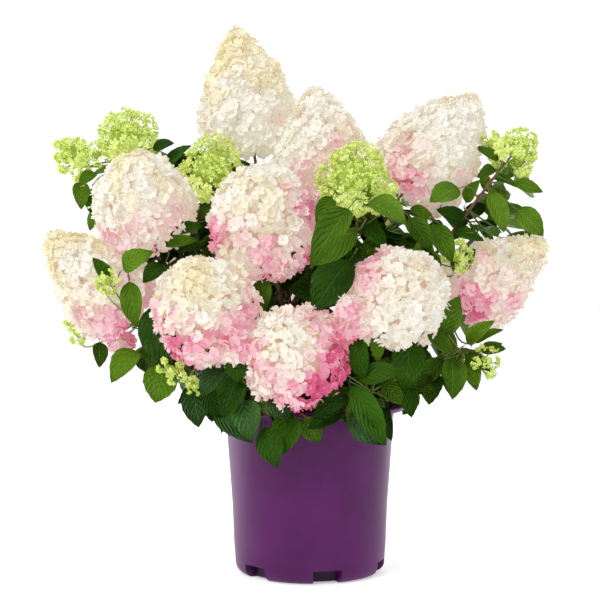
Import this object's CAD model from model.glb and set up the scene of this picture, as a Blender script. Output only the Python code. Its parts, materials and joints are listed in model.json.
"""The full look of a potted panicle hydrangea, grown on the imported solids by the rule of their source.

Units are metres, +Z is up and the front faces -Y. Every piece's place is in its mesh.
"""

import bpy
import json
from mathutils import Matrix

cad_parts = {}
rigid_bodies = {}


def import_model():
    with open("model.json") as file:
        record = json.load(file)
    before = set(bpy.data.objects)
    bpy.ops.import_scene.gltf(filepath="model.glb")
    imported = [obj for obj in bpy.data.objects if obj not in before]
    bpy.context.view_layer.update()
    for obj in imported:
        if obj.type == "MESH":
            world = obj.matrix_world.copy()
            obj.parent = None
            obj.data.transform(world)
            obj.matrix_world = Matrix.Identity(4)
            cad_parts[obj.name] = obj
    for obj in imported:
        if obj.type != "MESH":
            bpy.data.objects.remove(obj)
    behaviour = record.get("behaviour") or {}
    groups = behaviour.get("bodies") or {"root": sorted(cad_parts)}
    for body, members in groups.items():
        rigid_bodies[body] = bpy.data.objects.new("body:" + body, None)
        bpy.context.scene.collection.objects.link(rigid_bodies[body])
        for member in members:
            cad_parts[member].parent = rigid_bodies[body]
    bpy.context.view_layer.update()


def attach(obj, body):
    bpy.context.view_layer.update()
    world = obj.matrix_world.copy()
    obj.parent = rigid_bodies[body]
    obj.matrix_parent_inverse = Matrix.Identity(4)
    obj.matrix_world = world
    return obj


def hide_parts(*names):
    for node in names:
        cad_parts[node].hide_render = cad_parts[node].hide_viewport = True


bl_info = {
    "name": "Potted panicle hydrangea",
    "version": (1, 0, 0),
    "blender": (4, 5, 0),
    "location": "View3D > Sidebar > Hydrangea",
    "description": "Grows the pot, limbs, leaves and flower heads of a potted panicle hydrangea",
    "category": "Add Mesh",
}

import json
import math
import random
from collections import namedtuple

import bmesh
import bpy
from mathutils import Matrix, Vector, noise

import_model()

UP = Vector((0.0, 0.0, 1.0))
GOLDEN_ANGLE = math.radians(137.5)

# The source's own sizes, which the finer growth keeps to
POT_HEIGHT = 0.250
LIP_RADIUS = 0.1425
NECK_RADIUS = 0.1260
WAIST_RADIUS = 0.1160
WAIST_HEIGHT = 0.100
FOOT_RADIUS = 0.1115
FOOT_CORNER = 0.014
MIX_TOP = 0.222
FORK_HEIGHT = 0.250
LOW_FORK_HEIGHT = 0.236
LOW_FORK_RISE = 8
FORK_STUB = 0.034
LOW_STUB = 0.030
SIDE_STUB = 0.013
LEAD = 0.008
BENDS = 5
BEND_PULL = 0.32
SIDE_FORWARD = 0.75
WIDEST_AT = 0.30
WHORL = 3
LEAF_PITCH = math.radians(28)
TWIG_PITCH = math.radians(38)
PAIR_PITCH = math.radians(35)
CROWN_LOW = Vector((-0.375, -0.245, 0.172))
CROWN_HIGH = Vector((0.358, 0.310, 0.780))
CROWN_FLOOR = 0.174
CROWN_FLOOR_RISE = 0.50

Shoot = namedtuple("Shoot", "name parent start foot tip width share roll")
Sprig = namedtuple("Sprig", "shoot foot tip width")
Skirt = namedtuple("Skirt", "name azimuth reach rise fall")
Clump = namedtuple("Clump", "head foot tip width pink")
Placed = namedtuple("Placed", "base tip width roll tint")
Spot = namedtuple("Spot", "at turn size kind shade")
LeafForm = namedtuple("LeafForm", "fold droop twist wave")
Bloom = namedtuple("Bloom", "pink rim side lean apex")
Flush = namedtuple("Flush", "x z reach amount")

SHOOTS = (
    Shoot("top", "trunk", (140, 78), (-0.086, 0.088, 0.630), (-0.116, 0.080, 0.829), 0.144, 0.42, 20),
    Shoot("upper_mid", "top", 0.62, (0.024, 0.025, 0.565), (0.006, 0.020, 0.728), 0.137, 0.30, 75),
    Shoot("left_high", "trunk", (170, 52), (-0.240, 0.005, 0.506), (-0.252, -0.092, 0.613), 0.148, 0.40, 10),
    Shoot("green_left", "left_high", 0.50, (-0.144, 0.002, 0.562), (-0.147, -0.016, 0.647), 0.098, 0.30, 50),
    Shoot("far_left", "left_high", 0.85, (-0.279, 0.060, 0.629), (-0.284, 0.055, 0.692), 0.096, 0.25, 35),
    Shoot("left_out", "trunk", (188, 27), (-0.262, -0.008, 0.376), (-0.386, -0.034, 0.505), 0.130, 0.42, 60),
    Shoot("left_low", "trunk", (218, 42), (-0.139, -0.085, 0.355), (-0.164, -0.190, 0.452), 0.152, 0.40, 30),
    Shoot("centre", "trunk", (225, 66), (-0.058, -0.030, 0.475), (-0.078, -0.135, 0.588), 0.166, 0.42, 0),
    Shoot("front_low", "trunk", (268, 30), (-0.012, -0.115, 0.312), (-0.035, -0.212, 0.352), 0.144, 0.36, 45),
    Shoot("right_mid", "trunk", (315, 46), (0.119, -0.085, 0.405), (0.132, -0.195, 0.417), 0.140, 0.40, 15),
    Shoot("green_mid", "right_mid", 0.55, (0.068, -0.070, 0.541), (0.060, -0.100, 0.629), 0.104, 0.30, 80),
    Shoot("right_high", "trunk", (20, 60), (0.140, 0.030, 0.564), (0.256, 0.020, 0.714), 0.149, 0.42, 55),
    Shoot("far_right", "right_high", 0.60, (0.290, -0.020, 0.608), (0.332, -0.012, 0.658), 0.064, 0.30, 25),
    Shoot("right_out", "trunk", (352, 28), (0.218, -0.015, 0.396), (0.350, -0.030, 0.494), 0.117, 0.42, 70),
    Shoot("back_left", "trunk", (128, 44), (-0.150, 0.150, 0.405), (-0.215, 0.245, 0.485), 0.144, 0.42, 40),
    Shoot("back_mid", "top", 0.40, (0.000, 0.165, 0.470), (0.012, 0.262, 0.575), 0.146, 0.30, 5),
    Shoot("back_right", "trunk", (48, 44), (0.145, 0.145, 0.385), (0.215, 0.238, 0.460), 0.144, 0.42, 65),
    Shoot("back_low", "trunk", (92, 26), (-0.010, 0.180, 0.325), (-0.018, 0.285, 0.365), 0.138, 0.40, 30),
)
YOUNG = ("green_left", "far_left", "green_mid", "far_right")
SPRIGS = (
    Sprig("far_left", (-0.350, 0.040, 0.610), (-0.383, 0.036, 0.650), 0.056),
    Sprig("far_left", (-0.318, 0.028, 0.610), (-0.332, 0.026, 0.642), 0.036),
    Sprig("far_left", (-0.346, 0.034, 0.606), (-0.350, 0.028, 0.574), 0.030),
    Sprig("far_right", (0.276, 0.006, 0.624), (0.268, 0.000, 0.656), 0.040),
    Sprig("right_high", (0.214, -0.060, 0.452), (0.209, -0.085, 0.490), 0.046),
    Sprig("left_out", (-0.290, -0.105, 0.414), (-0.285, -0.125, 0.454), 0.030),
    Sprig("left_out", (-0.341, 0.020, 0.333), (-0.375, 0.020, 0.391), 0.022),
    Sprig("left_low", (-0.176, -0.130, 0.294), (-0.218, -0.150, 0.328), 0.030),
    Sprig("left_low", (-0.171, -0.128, 0.298), (-0.157, -0.138, 0.270), 0.021),
    Sprig("right_out", (0.241, -0.085, 0.304), (0.256, -0.105, 0.334), 0.046),
    Sprig("back_mid", (0.120, 0.155, 0.525), (0.135, 0.180, 0.570), 0.060),
    Sprig("back_left", (-0.120, 0.165, 0.520), (-0.130, 0.195, 0.560), 0.056),
    Sprig("back_right", (0.260, 0.110, 0.415), (0.285, 0.125, 0.450), 0.052),
)
SKIRTS = (
    Skirt("low_left", 200, 0.175, 0.050, 0.034),
    Skirt("low_front_left", 228, 0.160, 0.036, 0.036),
    Skirt("low_front", 253, 0.156, 0.020, 0.020),
    Skirt("low_front_right", 303, 0.160, 0.040, 0.036),
    Skirt("low_right", 345, 0.180, 0.056, 0.030),
    Skirt("low_back_right", 52, 0.170, 0.050, 0.032),
    Skirt("low_back_left", 128, 0.170, 0.050, 0.032),
)

# Places in the front view, as x, z and radius, where no leaf stands and the sky shows through
OPENINGS = (
    (-0.186, 0.676, 0.026), (-0.146, 0.562, 0.010), (0.311, 0.556, 0.009), (0.327, 0.550, 0.010),
    (-0.262, 0.330, 0.008), (0.246, 0.352, 0.006), (-0.160, 0.630, 0.008), (-0.216, 0.674, 0.020),
    (0.180, 0.251, 0.013),
)
# A cane that leaves don't hide from the front
SHOWN_CANE = ((0.205, -0.022, 0.500), (0.288, -0.020, 0.612))

# Small side clusters that hang loose from a head
CLUMPS = (
    Clump("right_mid", (0.066, -0.148, 0.362), (0.049, -0.176, 0.412), 0.046, 0.56),
    Clump("left_low", (-0.101, -0.150, 0.321), (-0.102, -0.176, 0.371), 0.038, 0.34),
    Clump("left_out", (-0.284, -0.020, 0.349), (-0.271, -0.030, 0.328), 0.034, 0.60),
)

# Leaves with a place of their own, from base to tip, each on a stalk from the nearest stem
PLACED = (
    Placed((-0.313, -0.020, 0.347), (-0.311, -0.035, 0.305), 0.50, 0, "mid"),
    Placed((-0.247, -0.050, 0.335), (-0.287, -0.080, 0.286), 0.55, 0, "mid"),
    Placed((-0.227, -0.110, 0.409), (-0.195, -0.140, 0.309), 0.49, 0, "deep"),
    Placed((-0.206, -0.100, 0.320), (-0.220, -0.112, 0.260), 0.75, 0, "mid"),
    Placed((-0.169, -0.112, 0.293), (-0.157, -0.130, 0.227), 0.53, 0, "glaucous"),
    Placed((-0.121, -0.140, 0.314), (-0.152, -0.155, 0.272), 0.56, 0, "glaucous"),
    Placed((-0.147, -0.125, 0.285), (-0.124, -0.140, 0.242), 0.60, 0, "deep"),
    Placed((-0.100, -0.150, 0.306), (-0.121, -0.174, 0.244), 0.55, 0, "deep"),
    Placed((-0.103, -0.160, 0.327), (-0.101, -0.175, 0.293), 0.85, 0, "deep"),
    Placed((-0.142, -0.132, 0.252), (-0.080, -0.152, 0.208), 0.44, 0, "glaucous"),
    Placed((-0.096, -0.152, 0.276), (-0.082, -0.172, 0.212), 0.57, 0, "glaucous"),
    Placed((-0.090, -0.140, 0.292), (-0.029, -0.165, 0.240), 0.40, 0, "mid"),
    Placed((-0.066, -0.154, 0.238), (-0.045, -0.168, 0.176), 0.54, 0, "deep"),
    Placed((-0.029, -0.142, 0.259), (-0.044, -0.158, 0.190), 0.54, 0, "deep"),
    Placed((-0.057, -0.140, 0.273), (-0.031, -0.152, 0.221), 0.47, 0, "deep"),
    Placed((-0.065, -0.155, 0.296), (-0.031, -0.170, 0.241), 0.57, 0, "glaucous"),
    Placed((0.059, -0.140, 0.542), (-0.001, -0.190, 0.449), 0.33, 0, "mid"),
    Placed((0.072, -0.130, 0.510), (0.006, -0.170, 0.454), 0.38, 0, "mid"),
    Placed((0.034, -0.100, 0.558), (0.008, -0.120, 0.511), 0.44, 0, "mid"),
    Placed((0.062, -0.110, 0.471), (0.003, -0.150, 0.390), 0.51, 0, "deep"),
    Placed((0.074, -0.132, 0.546), (0.133, -0.150, 0.510), 0.54, 0, "fresh"),
    Placed((0.073, -0.100, 0.544), (0.087, -0.110, 0.566), 0.53, 0, "fresh"),
    Placed((0.138, -0.090, 0.529), (0.171, -0.110, 0.476), 0.46, 0, "mid"),
    Placed((0.172, -0.080, 0.521), (0.202, -0.100, 0.459), 0.44, 0, "mid"),
    Placed((0.074, -0.080, 0.518), (0.110, -0.090, 0.482), 0.46, 0, "deep"),
    Placed((0.221, -0.060, 0.570), (0.172, -0.080, 0.546), 0.62, 0, "fresh"),
    Placed((0.260, -0.040, 0.573), (0.282, -0.060, 0.503), 0.42, 0, "fresh"),
    Placed((0.296, -0.020, 0.580), (0.344, -0.030, 0.564), 0.36, 0, "fresh"),
    Placed((0.299, -0.030, 0.544), (0.343, -0.040, 0.499), 0.52, 0, "fresh"),
    Placed((0.285, -0.020, 0.497), (0.330, -0.020, 0.503), 0.50, 62, "mid"),
    Placed((0.207, -0.050, 0.505), (0.253, -0.060, 0.491), 0.37, 0, "deep"),
    Placed((0.207, -0.045, 0.440), (0.242, -0.050, 0.480), 0.55, 0, "mid"),
    Placed((0.183, -0.120, 0.350), (0.208, -0.140, 0.412), 0.46, 0, "mid"),
    Placed((0.159, -0.130, 0.366), (0.200, -0.140, 0.326), 0.40, 0, "mid"),
    Placed((0.143, -0.120, 0.361), (0.132, -0.140, 0.279), 0.53, 0, "deep"),
    Placed((0.195, -0.100, 0.326), (0.150, -0.120, 0.281), 0.44, 0, "mid"),
    Placed((0.201, -0.110, 0.332), (0.199, -0.130, 0.266), 0.50, 0, "mid"),
    Placed((0.226, -0.090, 0.331), (0.236, -0.110, 0.277), 0.42, 0, "fresh"),
    Placed((0.218, -0.100, 0.340), (0.260, -0.120, 0.377), 0.37, 0, "fresh"),
    Placed((0.239, -0.080, 0.334), (0.279, -0.100, 0.336), 0.44, 0, "fresh"),
    Placed((0.055, -0.150, 0.298), (0.127, -0.170, 0.308), 0.45, 0, "deep"),
    Placed((0.048, -0.165, 0.299), (0.103, -0.182, 0.208), 0.32, 0, "deep"),
    Placed((0.056, -0.155, 0.267), (0.102, -0.165, 0.206), 0.58, 62, "glaucous"),
    Placed((0.057, -0.160, 0.278), (0.002, -0.180, 0.244), 0.43, 0, "deep"),
    Placed((0.052, -0.150, 0.255), (-0.004, -0.165, 0.229), 0.45, 0, "deep"),
    Placed((0.097, -0.130, 0.294), (0.128, -0.140, 0.260), 0.55, 0, "mid"),
    Placed((0.134, -0.110, 0.290), (0.143, -0.120, 0.240), 0.48, 0, "deep"),
    Placed((0.091, -0.140, 0.367), (0.093, -0.150, 0.319), 0.40, 0, "mid"),
    Placed((0.057, -0.150, 0.365), (0.074, -0.160, 0.295), 0.40, 0, "deep"),
    Placed((0.109, -0.120, 0.262), (0.114, -0.130, 0.208), 0.50, 62, "deep"),
    Placed((-0.271, -0.100, 0.446), (-0.221, -0.120, 0.474), 0.51, 0, "mid"),
    Placed((-0.286, -0.100, 0.429), (-0.307, -0.120, 0.466), 0.44, 0, "mid"),
    Placed((-0.260, -0.100, 0.440), (-0.246, -0.120, 0.367), 0.39, 0, "mid"),
    Placed((-0.349, 0.030, 0.590), (-0.346, 0.020, 0.541), 0.49, 0, "mid"),
    Placed((-0.331, 0.030, 0.578), (-0.333, 0.020, 0.536), 0.40, 0, "deep"),
    Placed((-0.243, 0.030, 0.634), (-0.205, 0.020, 0.641), 0.58, 0, "deep"),
    Placed((-0.226, 0.040, 0.606), (-0.179, 0.030, 0.639), 0.44, 0, "deep"),
    Placed((-0.169, -0.020, 0.521), (-0.142, -0.030, 0.548), 0.44, 0, "mid"),
    Placed((-0.067, -0.080, 0.446), (-0.069, -0.100, 0.379), 0.42, 0, "mid"),
    Placed((-0.205, -0.050, 0.505), (-0.156, -0.060, 0.513), 0.37, 0, "deep"),
    Placed((-0.221, -0.060, 0.484), (-0.162, -0.070, 0.492), 0.32, 0, "mid"),
    Placed((0.269, -0.010, 0.560), (0.254, -0.010, 0.599), 0.40, 0, "mid"),
    Placed((0.192, -0.030, 0.545), (0.214, -0.030, 0.573), 0.39, 0, "mid"),
    Placed((-0.322, 0.030, 0.547), (-0.333, 0.020, 0.509), 0.44, 0, "fresh"),
    Placed((0.230, -0.010, 0.545), (0.252, -0.020, 0.583), 0.46, 0, "fresh"),
    Placed((0.144, -0.020, 0.543), (0.185, -0.035, 0.520), 0.33, 0, "mid"),
    Placed((0.236, -0.060, 0.340), (0.279, -0.080, 0.363), 0.30, 0, "mid"),
    Placed((0.265, -0.010, 0.587), (0.309, -0.020, 0.571), 0.32, 0, "mid"),
    Placed((0.245, -0.080, 0.331), (0.276, -0.090, 0.343), 0.37, 0, "fresh"),
    Placed((0.270, 0.020, 0.551), (0.228, 0.010, 0.522), 0.49, 0, "deep"),
    Placed((0.232, 0.010, 0.506), (0.201, 0.000, 0.529), 0.52, 0, "mid"),
    Placed((0.288, 0.020, 0.506), (0.250, 0.010, 0.522), 0.39, 0, "deep"),
    Placed((0.282, 0.000, 0.618), (0.249, -0.010, 0.633), 0.36, 0, "mid"),
    Placed((0.236, -0.030, 0.516), (0.208, -0.045, 0.493), 0.41, 0, "deep"),
    Placed((-0.211, -0.050, 0.461), (-0.242, -0.070, 0.430), 0.55, 0, "deep"),
    Placed((-0.320, 0.020, 0.598), (-0.347, 0.000, 0.574), 0.50, 0, "mid"),
    Placed((0.282, -0.030, 0.610), (0.244, -0.050, 0.625), 0.42, 0, "mid"),
    Placed((0.274, -0.040, 0.599), (0.242, -0.060, 0.583), 0.42, 0, "mid"),
    Placed((0.240, -0.020, 0.515), (0.185, -0.040, 0.538), 0.44, 0, "deep"),
    Placed((0.193, -0.100, 0.309), (0.200, -0.120, 0.268), 0.50, 0, "mid"),
    Placed((0.172, -0.110, 0.304), (0.178, -0.130, 0.272), 0.52, 0, "deep"),
    Placed((0.217, -0.090, 0.331), (0.255, -0.110, 0.304), 0.48, 0, "mid"),
)

# How pink each head is all over, at its foot and on one side, and how yellow its apex is
BLOOMS = {
    "top": Bloom(0.04, 0.10, (0.8, -0.1, -0.5), 0.06, 1.0),
    "upper_mid": Bloom(0.10, 0.20, (0.6, -0.1, -0.6), 0.10, 0.4),
    "left_high": Bloom(0.08, 0.28, (0.3, 0.2, -0.9), 0.08, 0.5),
    "left_out": Bloom(0.16, 0.28, (0.1, -0.3, -0.9), 0.10, 1.0),
    "left_low": Bloom(0.14, 0.28, (0.1, 0.1, -1.0), 0.10, 0.6),
    "centre": Bloom(0.13, 0.26, (0.6, 0.3, -0.6), 0.12, 0.25),
    "front_low": Bloom(0.26, 0.34, (0.9, 0.2, -0.4), 0.14, 0.2),
    "right_mid": Bloom(0.08, 0.26, (-0.7, 0.0, 0.5), 0.14, 0.2),
    "right_high": Bloom(0.11, 0.18, (-0.8, -0.2, -0.5), 0.08, 0.4),
    "right_out": Bloom(0.13, 0.22, (-0.2, -0.1, -0.9), 0.12, 0.5),
    "back_left": Bloom(0.14, 0.70, (0.0, 0.0, -1.0), 0.12, 0.6),
    "back_mid": Bloom(0.10, 0.60, (0.3, 0.0, -1.0), 0.12, 0.6),
    "back_right": Bloom(0.20, 0.70, (0.3, 0.0, -1.0), 0.12, 0.6),
    "back_low": Bloom(0.14, 0.70, (0.3, 0.0, -1.0), 0.12, 0.4),
}

# Patches where a head is flushed pinker on its front, at x and z, with the patch's reach and strength
FLUSHES = (
    Flush(-0.037, 0.293, 0.016, 0.20), Flush(-0.019, 0.279, 0.018, 0.17), Flush(-0.007, 0.293, 0.015, 0.20),
    Flush(-0.043, 0.318, 0.014, 0.12), Flush(0.010, 0.274, 0.014, 0.14),
    Flush(-0.075, 0.345, 0.014, 0.24), Flush(-0.072, 0.315, 0.014, 0.26), Flush(-0.056, 0.289, 0.014, 0.24),
    Flush(-0.045, 0.387, 0.012, 0.14), Flush(-0.191, 0.362, 0.014, 0.20), Flush(-0.146, 0.338, 0.016, 0.26),
    Flush(-0.104, 0.354, 0.014, 0.20), Flush(-0.176, 0.404, 0.012, 0.10), Flush(-0.091, 0.392, 0.012, 0.12),
    Flush(0.033, 0.630, 0.016, 0.22), Flush(-0.012, 0.600, 0.016, 0.22), Flush(0.054, 0.653, 0.012, 0.14),
    Flush(0.141, 0.607, 0.016, 0.18), Flush(0.165, 0.570, 0.014, 0.18),
    Flush(0.010, 0.377, 0.014, 0.24), Flush(0.024, 0.349, 0.014, 0.32), Flush(-0.026, 0.393, 0.012, 0.12),
    Flush(-0.134, 0.503, 0.014, 0.34), Flush(-0.126, 0.531, 0.012, 0.16), Flush(-0.140, 0.477, 0.012, 0.22),
    Flush(0.035, 0.305, 0.020, 0.58), Flush(0.031, 0.320, 0.016, 0.47), Flush(0.008, 0.288, 0.018, 0.32),
    Flush(-0.038, 0.288, 0.014, 0.23), Flush(0.232, 0.421, 0.018, 0.48), Flush(0.238, 0.388, 0.014, 0.41),
    Flush(0.298, 0.408, 0.014, 0.28), Flush(0.052, 0.386, 0.016, 0.38), Flush(0.068, 0.436, 0.016, 0.42),
    Flush(0.092, 0.462, 0.013, 0.40), Flush(-0.056, 0.462, 0.016, 0.48), Flush(-0.010, 0.470, 0.014, 0.42),
    Flush(-0.006, 0.528, 0.018, 0.45), Flush(-0.008, 0.554, 0.016, 0.39), Flush(-0.134, 0.500, 0.018, 0.33),
    Flush(-0.090, 0.426, 0.014, 0.31), Flush(-0.180, 0.344, 0.019, 0.44), Flush(-0.200, 0.386, 0.016, 0.33),
    Flush(-0.126, 0.362, 0.014, 0.31), Flush(-0.094, 0.348, 0.014, 0.28), Flush(-0.274, 0.352, 0.018, 0.27),
    Flush(-0.298, 0.372, 0.018, 0.27), Flush(-0.270, 0.500, 0.021, 0.34), Flush(-0.208, 0.528, 0.020, 0.34),
    Flush(-0.092, 0.388, 0.016, 0.36), Flush(-0.158, 0.374, 0.014, 0.23), Flush(-0.094, 0.507, 0.013, 0.22),
    Flush(0.132, 0.592, 0.018, 0.20), Flush(0.140, 0.558, 0.016, 0.24), Flush(0.262, 0.452, 0.019, 0.17),
)


def srgb(red, green, blue):
    """A colour given in display values from 0 to 255, as the linear values that Blender takes."""
    return tuple(
        (value / 255 / 12.92) if value <= 10 else ((value / 255 + 0.055) / 1.055) ** 2.4
        for value in (red, green, blue)
    )


TINTS = (
    ("petals_ivory", srgb(250, 249, 242)),
    ("petals_cream", srgb(250, 246, 234)),
    ("petals_blush", srgb(249, 233, 228)),
    ("petals_shell_pink", srgb(250, 211, 221)),
    ("petals_rose", srgb(245, 178, 201)),
    ("petals_deep_rose", srgb(238, 130, 170)),
)
DARKEST_ROSE = srgb(224, 98, 150)
APEX_TINT = ("petals_yellow_cream", srgb(249, 246, 230))
APEX_DEEP = srgb(246, 238, 204)
SHADE_TINT = ("petals_beige", srgb(244, 232, 214))
SHADE_DEEP = srgb(228, 206, 178)
PETAL_SHARE = 0.745
PETAL_GLOW = 0.235
GLOW_TINT = (1.0, 0.92, 0.83)
BUD_GLOW = 0.15
HEART_TINTS = (srgb(238, 208, 184), srgb(250, 238, 222))
GREENS = (
    ("leaves_deep", srgb(11, 44, 0), srgb(60, 106, 10), 0.12),
    ("leaves_mid", srgb(24, 66, 0), srgb(110, 152, 26), 0.14),
    ("leaves_fresh", srgb(44, 90, 0), srgb(136, 176, 40), 0.16),
    ("leaves_glaucous", srgb(11, 46, 4), srgb(74, 124, 48), 0.24),
)


# Growth rule, the same as the source's
def cubic(p0, p1, p2, p3, t):
    s = 1.0 - t
    return p0 * s**3 + p1 * 3 * s * s * t + p2 * 3 * s * t * t + p3 * t**3


def limb_path(start, first, foot, axis):
    """Points from a flat start to a foot, straight at both ends, with one smooth bend between."""
    lead = start + first * LEAD
    last = foot - axis * LEAD
    reach = (last - lead).length
    bend_in = lead + first * reach * BEND_PULL
    bend_out = last - axis * reach * BEND_PULL
    bend = [cubic(lead, bend_in, bend_out, last, step / BENDS) for step in range(BENDS + 1)]
    return [start] + bend + [foot]


def heading_of(azimuth, rise):
    """A direction from its azimuth and its rise above the level, in degrees."""
    azimuth = math.radians(azimuth)
    rise = math.radians(rise)
    return Vector((math.cos(azimuth) * math.cos(rise), math.sin(azimuth) * math.cos(rise), math.sin(rise)))


def side_heading(reach, parent_heading):
    """The way a side limb sets off: well out from the bough that bears it."""
    outward = reach - parent_heading * reach.dot(parent_heading)
    return (outward.normalized() + parent_heading * SIDE_FORWARD).normalized()


def split_path(points, share):
    """The bare part and the leafy part of a path."""
    index = 1 + max(0, min(BENDS - 1, round(share * BENDS - 0.5)))
    middle = (points[index] + points[index + 1]) / 2
    return points[: index + 1] + [middle], [middle] + points[index + 1:]


def path_length(points):
    return sum((far - near).length for near, far in zip(points, points[1:]))


def point_on(points, distance):
    """The point and the direction at a distance along the points."""
    for near, far in zip(points, points[1:]):
        step = (far - near).length
        if distance <= step:
            return near + (far - near) * distance / step, (far - near) / step
        distance -= step
    return points[-1].copy(), (points[-1] - points[-2]).normalized()


def frame_along(direction, origin=Vector(), roll=0.0):
    """A matrix that takes +Z to the direction, turned about it by roll."""
    turn = direction.to_track_quat("Z", "Y").to_matrix().to_4x4()
    return Matrix.Translation(origin) @ turn @ Matrix.Rotation(roll, 4, "Z")


def blossom_radius(share, length, width):
    """The radius of a flower head at a share of its length: a cone where it is long, a ball where short."""
    plump = width / length
    fullness = min(2.2, max(1.5, 1.9 * plump - 0.35))
    edge = min(0.85, max(0.55, 1.15 - 0.45 * plump))
    if share < WIDEST_AT:
        return width / 2 * math.sqrt(1.0 - (0.68 * (WIDEST_AT - share) / WIDEST_AT) ** 2)
    return width / 2 * (1.0 - ((share - WIDEST_AT) / (1.0 - WIDEST_AT)) ** fullness) ** edge


def head_spaces():
    """Foot, axis, length and width of every head, clump and unopened head."""
    spaces = []
    for space in SHOOTS + CLUMPS + SPRIGS:
        foot = Vector(space.foot)
        axis = Vector(space.tip) - foot
        spaces.append((foot, axis.normalized(), axis.length, space.width))
    return spaces


HEADS = head_spaces()


def in_a_head(point, margin):
    """Whether a point lies inside a flower head's space."""
    for foot, axis, length, width in HEADS:
        out = point - foot
        rise = out.dot(axis)
        if -0.02 < rise / length < 1.0 + margin / length:
            away = math.sqrt(max(0.0, out.length_squared - rise * rise))
            if away < blossom_radius(max(0.0, min(1.0, rise / length)), length, width) + margin:
                return True
    return False


def before_a_head(point):
    """Whether a point stands before a flower head: in front of one of the front or behind one of the back."""
    for foot, axis, length, width in HEADS:
        side = -1.0 if foot.y < 0.10 else 1.0
        flat = Vector((axis.x, axis.z))
        out = Vector((point.x - foot.x, point.z - foot.z))
        rise = max(0.0, min(1.0, out.dot(flat) / max(0.0001, flat.length_squared) / length))
        if (point.y - foot.y - axis.y * length * rise) * side < 0.0:
            continue
        if (out - flat * length * rise).length < blossom_radius(rise, length, width) * 0.92:
            return True
    return False


def under_the_crown(point):
    """Whether a point hangs below the lower edge of the crown, which rises to the sides."""
    reach = max(abs(point.x), 0.6 * abs(point.y))
    return point.z < CROWN_FLOOR + CROWN_FLOOR_RISE * max(0.0, reach - 0.04)


def outside_crown(point):
    """Whether a point lies past the leaves' outer limits."""
    return under_the_crown(point) or any(value < low or value > high for value, low, high in zip(point, CROWN_LOW, CROWN_HIGH))


def in_the_pot(point, margin=0.004):
    """Whether a point lies in the pot's wall or below its lip."""
    return point.z < POT_HEIGHT + margin and math.hypot(point.x, point.y) < LIP_RADIUS + margin


def out_from_axis(point):
    """The level direction away from the plant's middle."""
    out = Vector((point.x, point.y, 0.0))
    return out.normalized() if out.length > 0.0003 else Vector((0.0, -1.0, 0.0))


def leaf_heading(direction, turn, pitch, droop):
    """Where a leaf points: out from its stem by turn, forward by pitch and down by droop."""
    side = frame_along(direction).to_3x3() @ Vector((math.cos(turn), math.sin(turn), 0.0))
    return (side * math.cos(pitch) + direction * math.sin(pitch) - UP * droop).normalized()


def droop_at(point):
    """How far leaves hang: little inside the crown, and steeply where they reach past the lip."""
    radius = math.hypot(point.x, point.y)
    past_lip = max(0.0, min(1.0, (radius - 0.105) / 0.05))
    low = max(0.0, min(1.0, (0.46 - point.z) / 0.16))
    return 0.30 + 0.40 * past_lip * low


def smooth_path(points):
    """The same path with three more points in each of its steps, on a smooth curve through all."""
    ends = [points[0] * 2 - points[1]] + points + [points[-1] * 2 - points[-2]]
    fine = []
    for before, near, far, after in zip(ends, ends[1:], ends[2:], ends[3:]):
        for step in range(4):
            t = step / 4
            pull_in = near + (far - before) / 6
            pull_out = far - (after - near) / 6
            fine.append(cubic(near, pull_in, pull_out, far, t))
    return fine + [points[-1]]


def limb_paths():
    """The bare part and the leafy stem of each limb, by name."""
    bare = {}
    stems = {}
    origins = {}
    fork = Vector((0.0, 0.0, FORK_HEIGHT))
    for shoot in SHOOTS:
        foot = Vector(shoot.foot)
        axis = (Vector(shoot.tip) - foot).normalized()
        if shoot.parent == "trunk":
            origin = fork
            first = heading_of(*shoot.start)
            stub = FORK_STUB
        else:
            parent = bare[shoot.parent]
            origin, parent_heading = point_on(parent, path_length(parent) * shoot.start)
            first = side_heading(foot - origin, parent_heading)
            stub = SIDE_STUB
        path = limb_path(origin + first * stub, first, foot, axis)
        bare[shoot.name], stems[shoot.name] = split_path(path, shoot.share)
        origins[shoot.name] = origin
    for skirt in SKIRTS:
        out = heading_of(skirt.azimuth, 0)
        origin = Vector((0.0, 0.0, LOW_FORK_HEIGHT))
        first = heading_of(skirt.azimuth, LOW_FORK_RISE)
        end = origin + out * skirt.reach + UP * skirt.rise
        axis = (out - UP * skirt.fall / 0.08).normalized()
        stems[skirt.name] = limb_path(origin + first * LOW_STUB, first, end, axis)
        origins[skirt.name] = origin
    return bare, stems, origins


# Node trees
class Term:
    """A node's output under Python's operators, each of which adds a Math node."""

    def __init__(self, board, socket):
        self.board = board
        self.socket = socket

    def math(self, operation, *values):
        sockets = dict(enumerate(values))
        return self.board.node("ShaderNodeMath", {"operation": operation}, sockets)

    def __add__(self, other):
        return self.math("ADD", self, other)

    def __sub__(self, other):
        return self.math("SUBTRACT", self, other)

    def __rsub__(self, other):
        return self.math("SUBTRACT", other, self)

    def __mul__(self, other):
        return self.math("MULTIPLY", self, other)

    def __truediv__(self, other):
        return self.math("DIVIDE", self, other)

    def __pow__(self, other):
        return self.math("POWER", self, other)

    def __abs__(self):
        return self.math("ABSOLUTE", self)

    def wave(self):
        return self.math("SINE", self)

    def fraction(self):
        return self.math("FRACT", self)

    def between(self, low, high, start=0.0, end=1.0):
        """This value taken smoothly from the range low to high to the range start to end."""
        sockets = {"Value": self, "From Min": low, "From Max": high, "To Min": start, "To Max": end}
        return self.board.node("ShaderNodeMapRange", {"interpolation_type": "SMOOTHSTEP"}, sockets)

    __radd__ = __add__
    __rmul__ = __mul__


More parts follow.
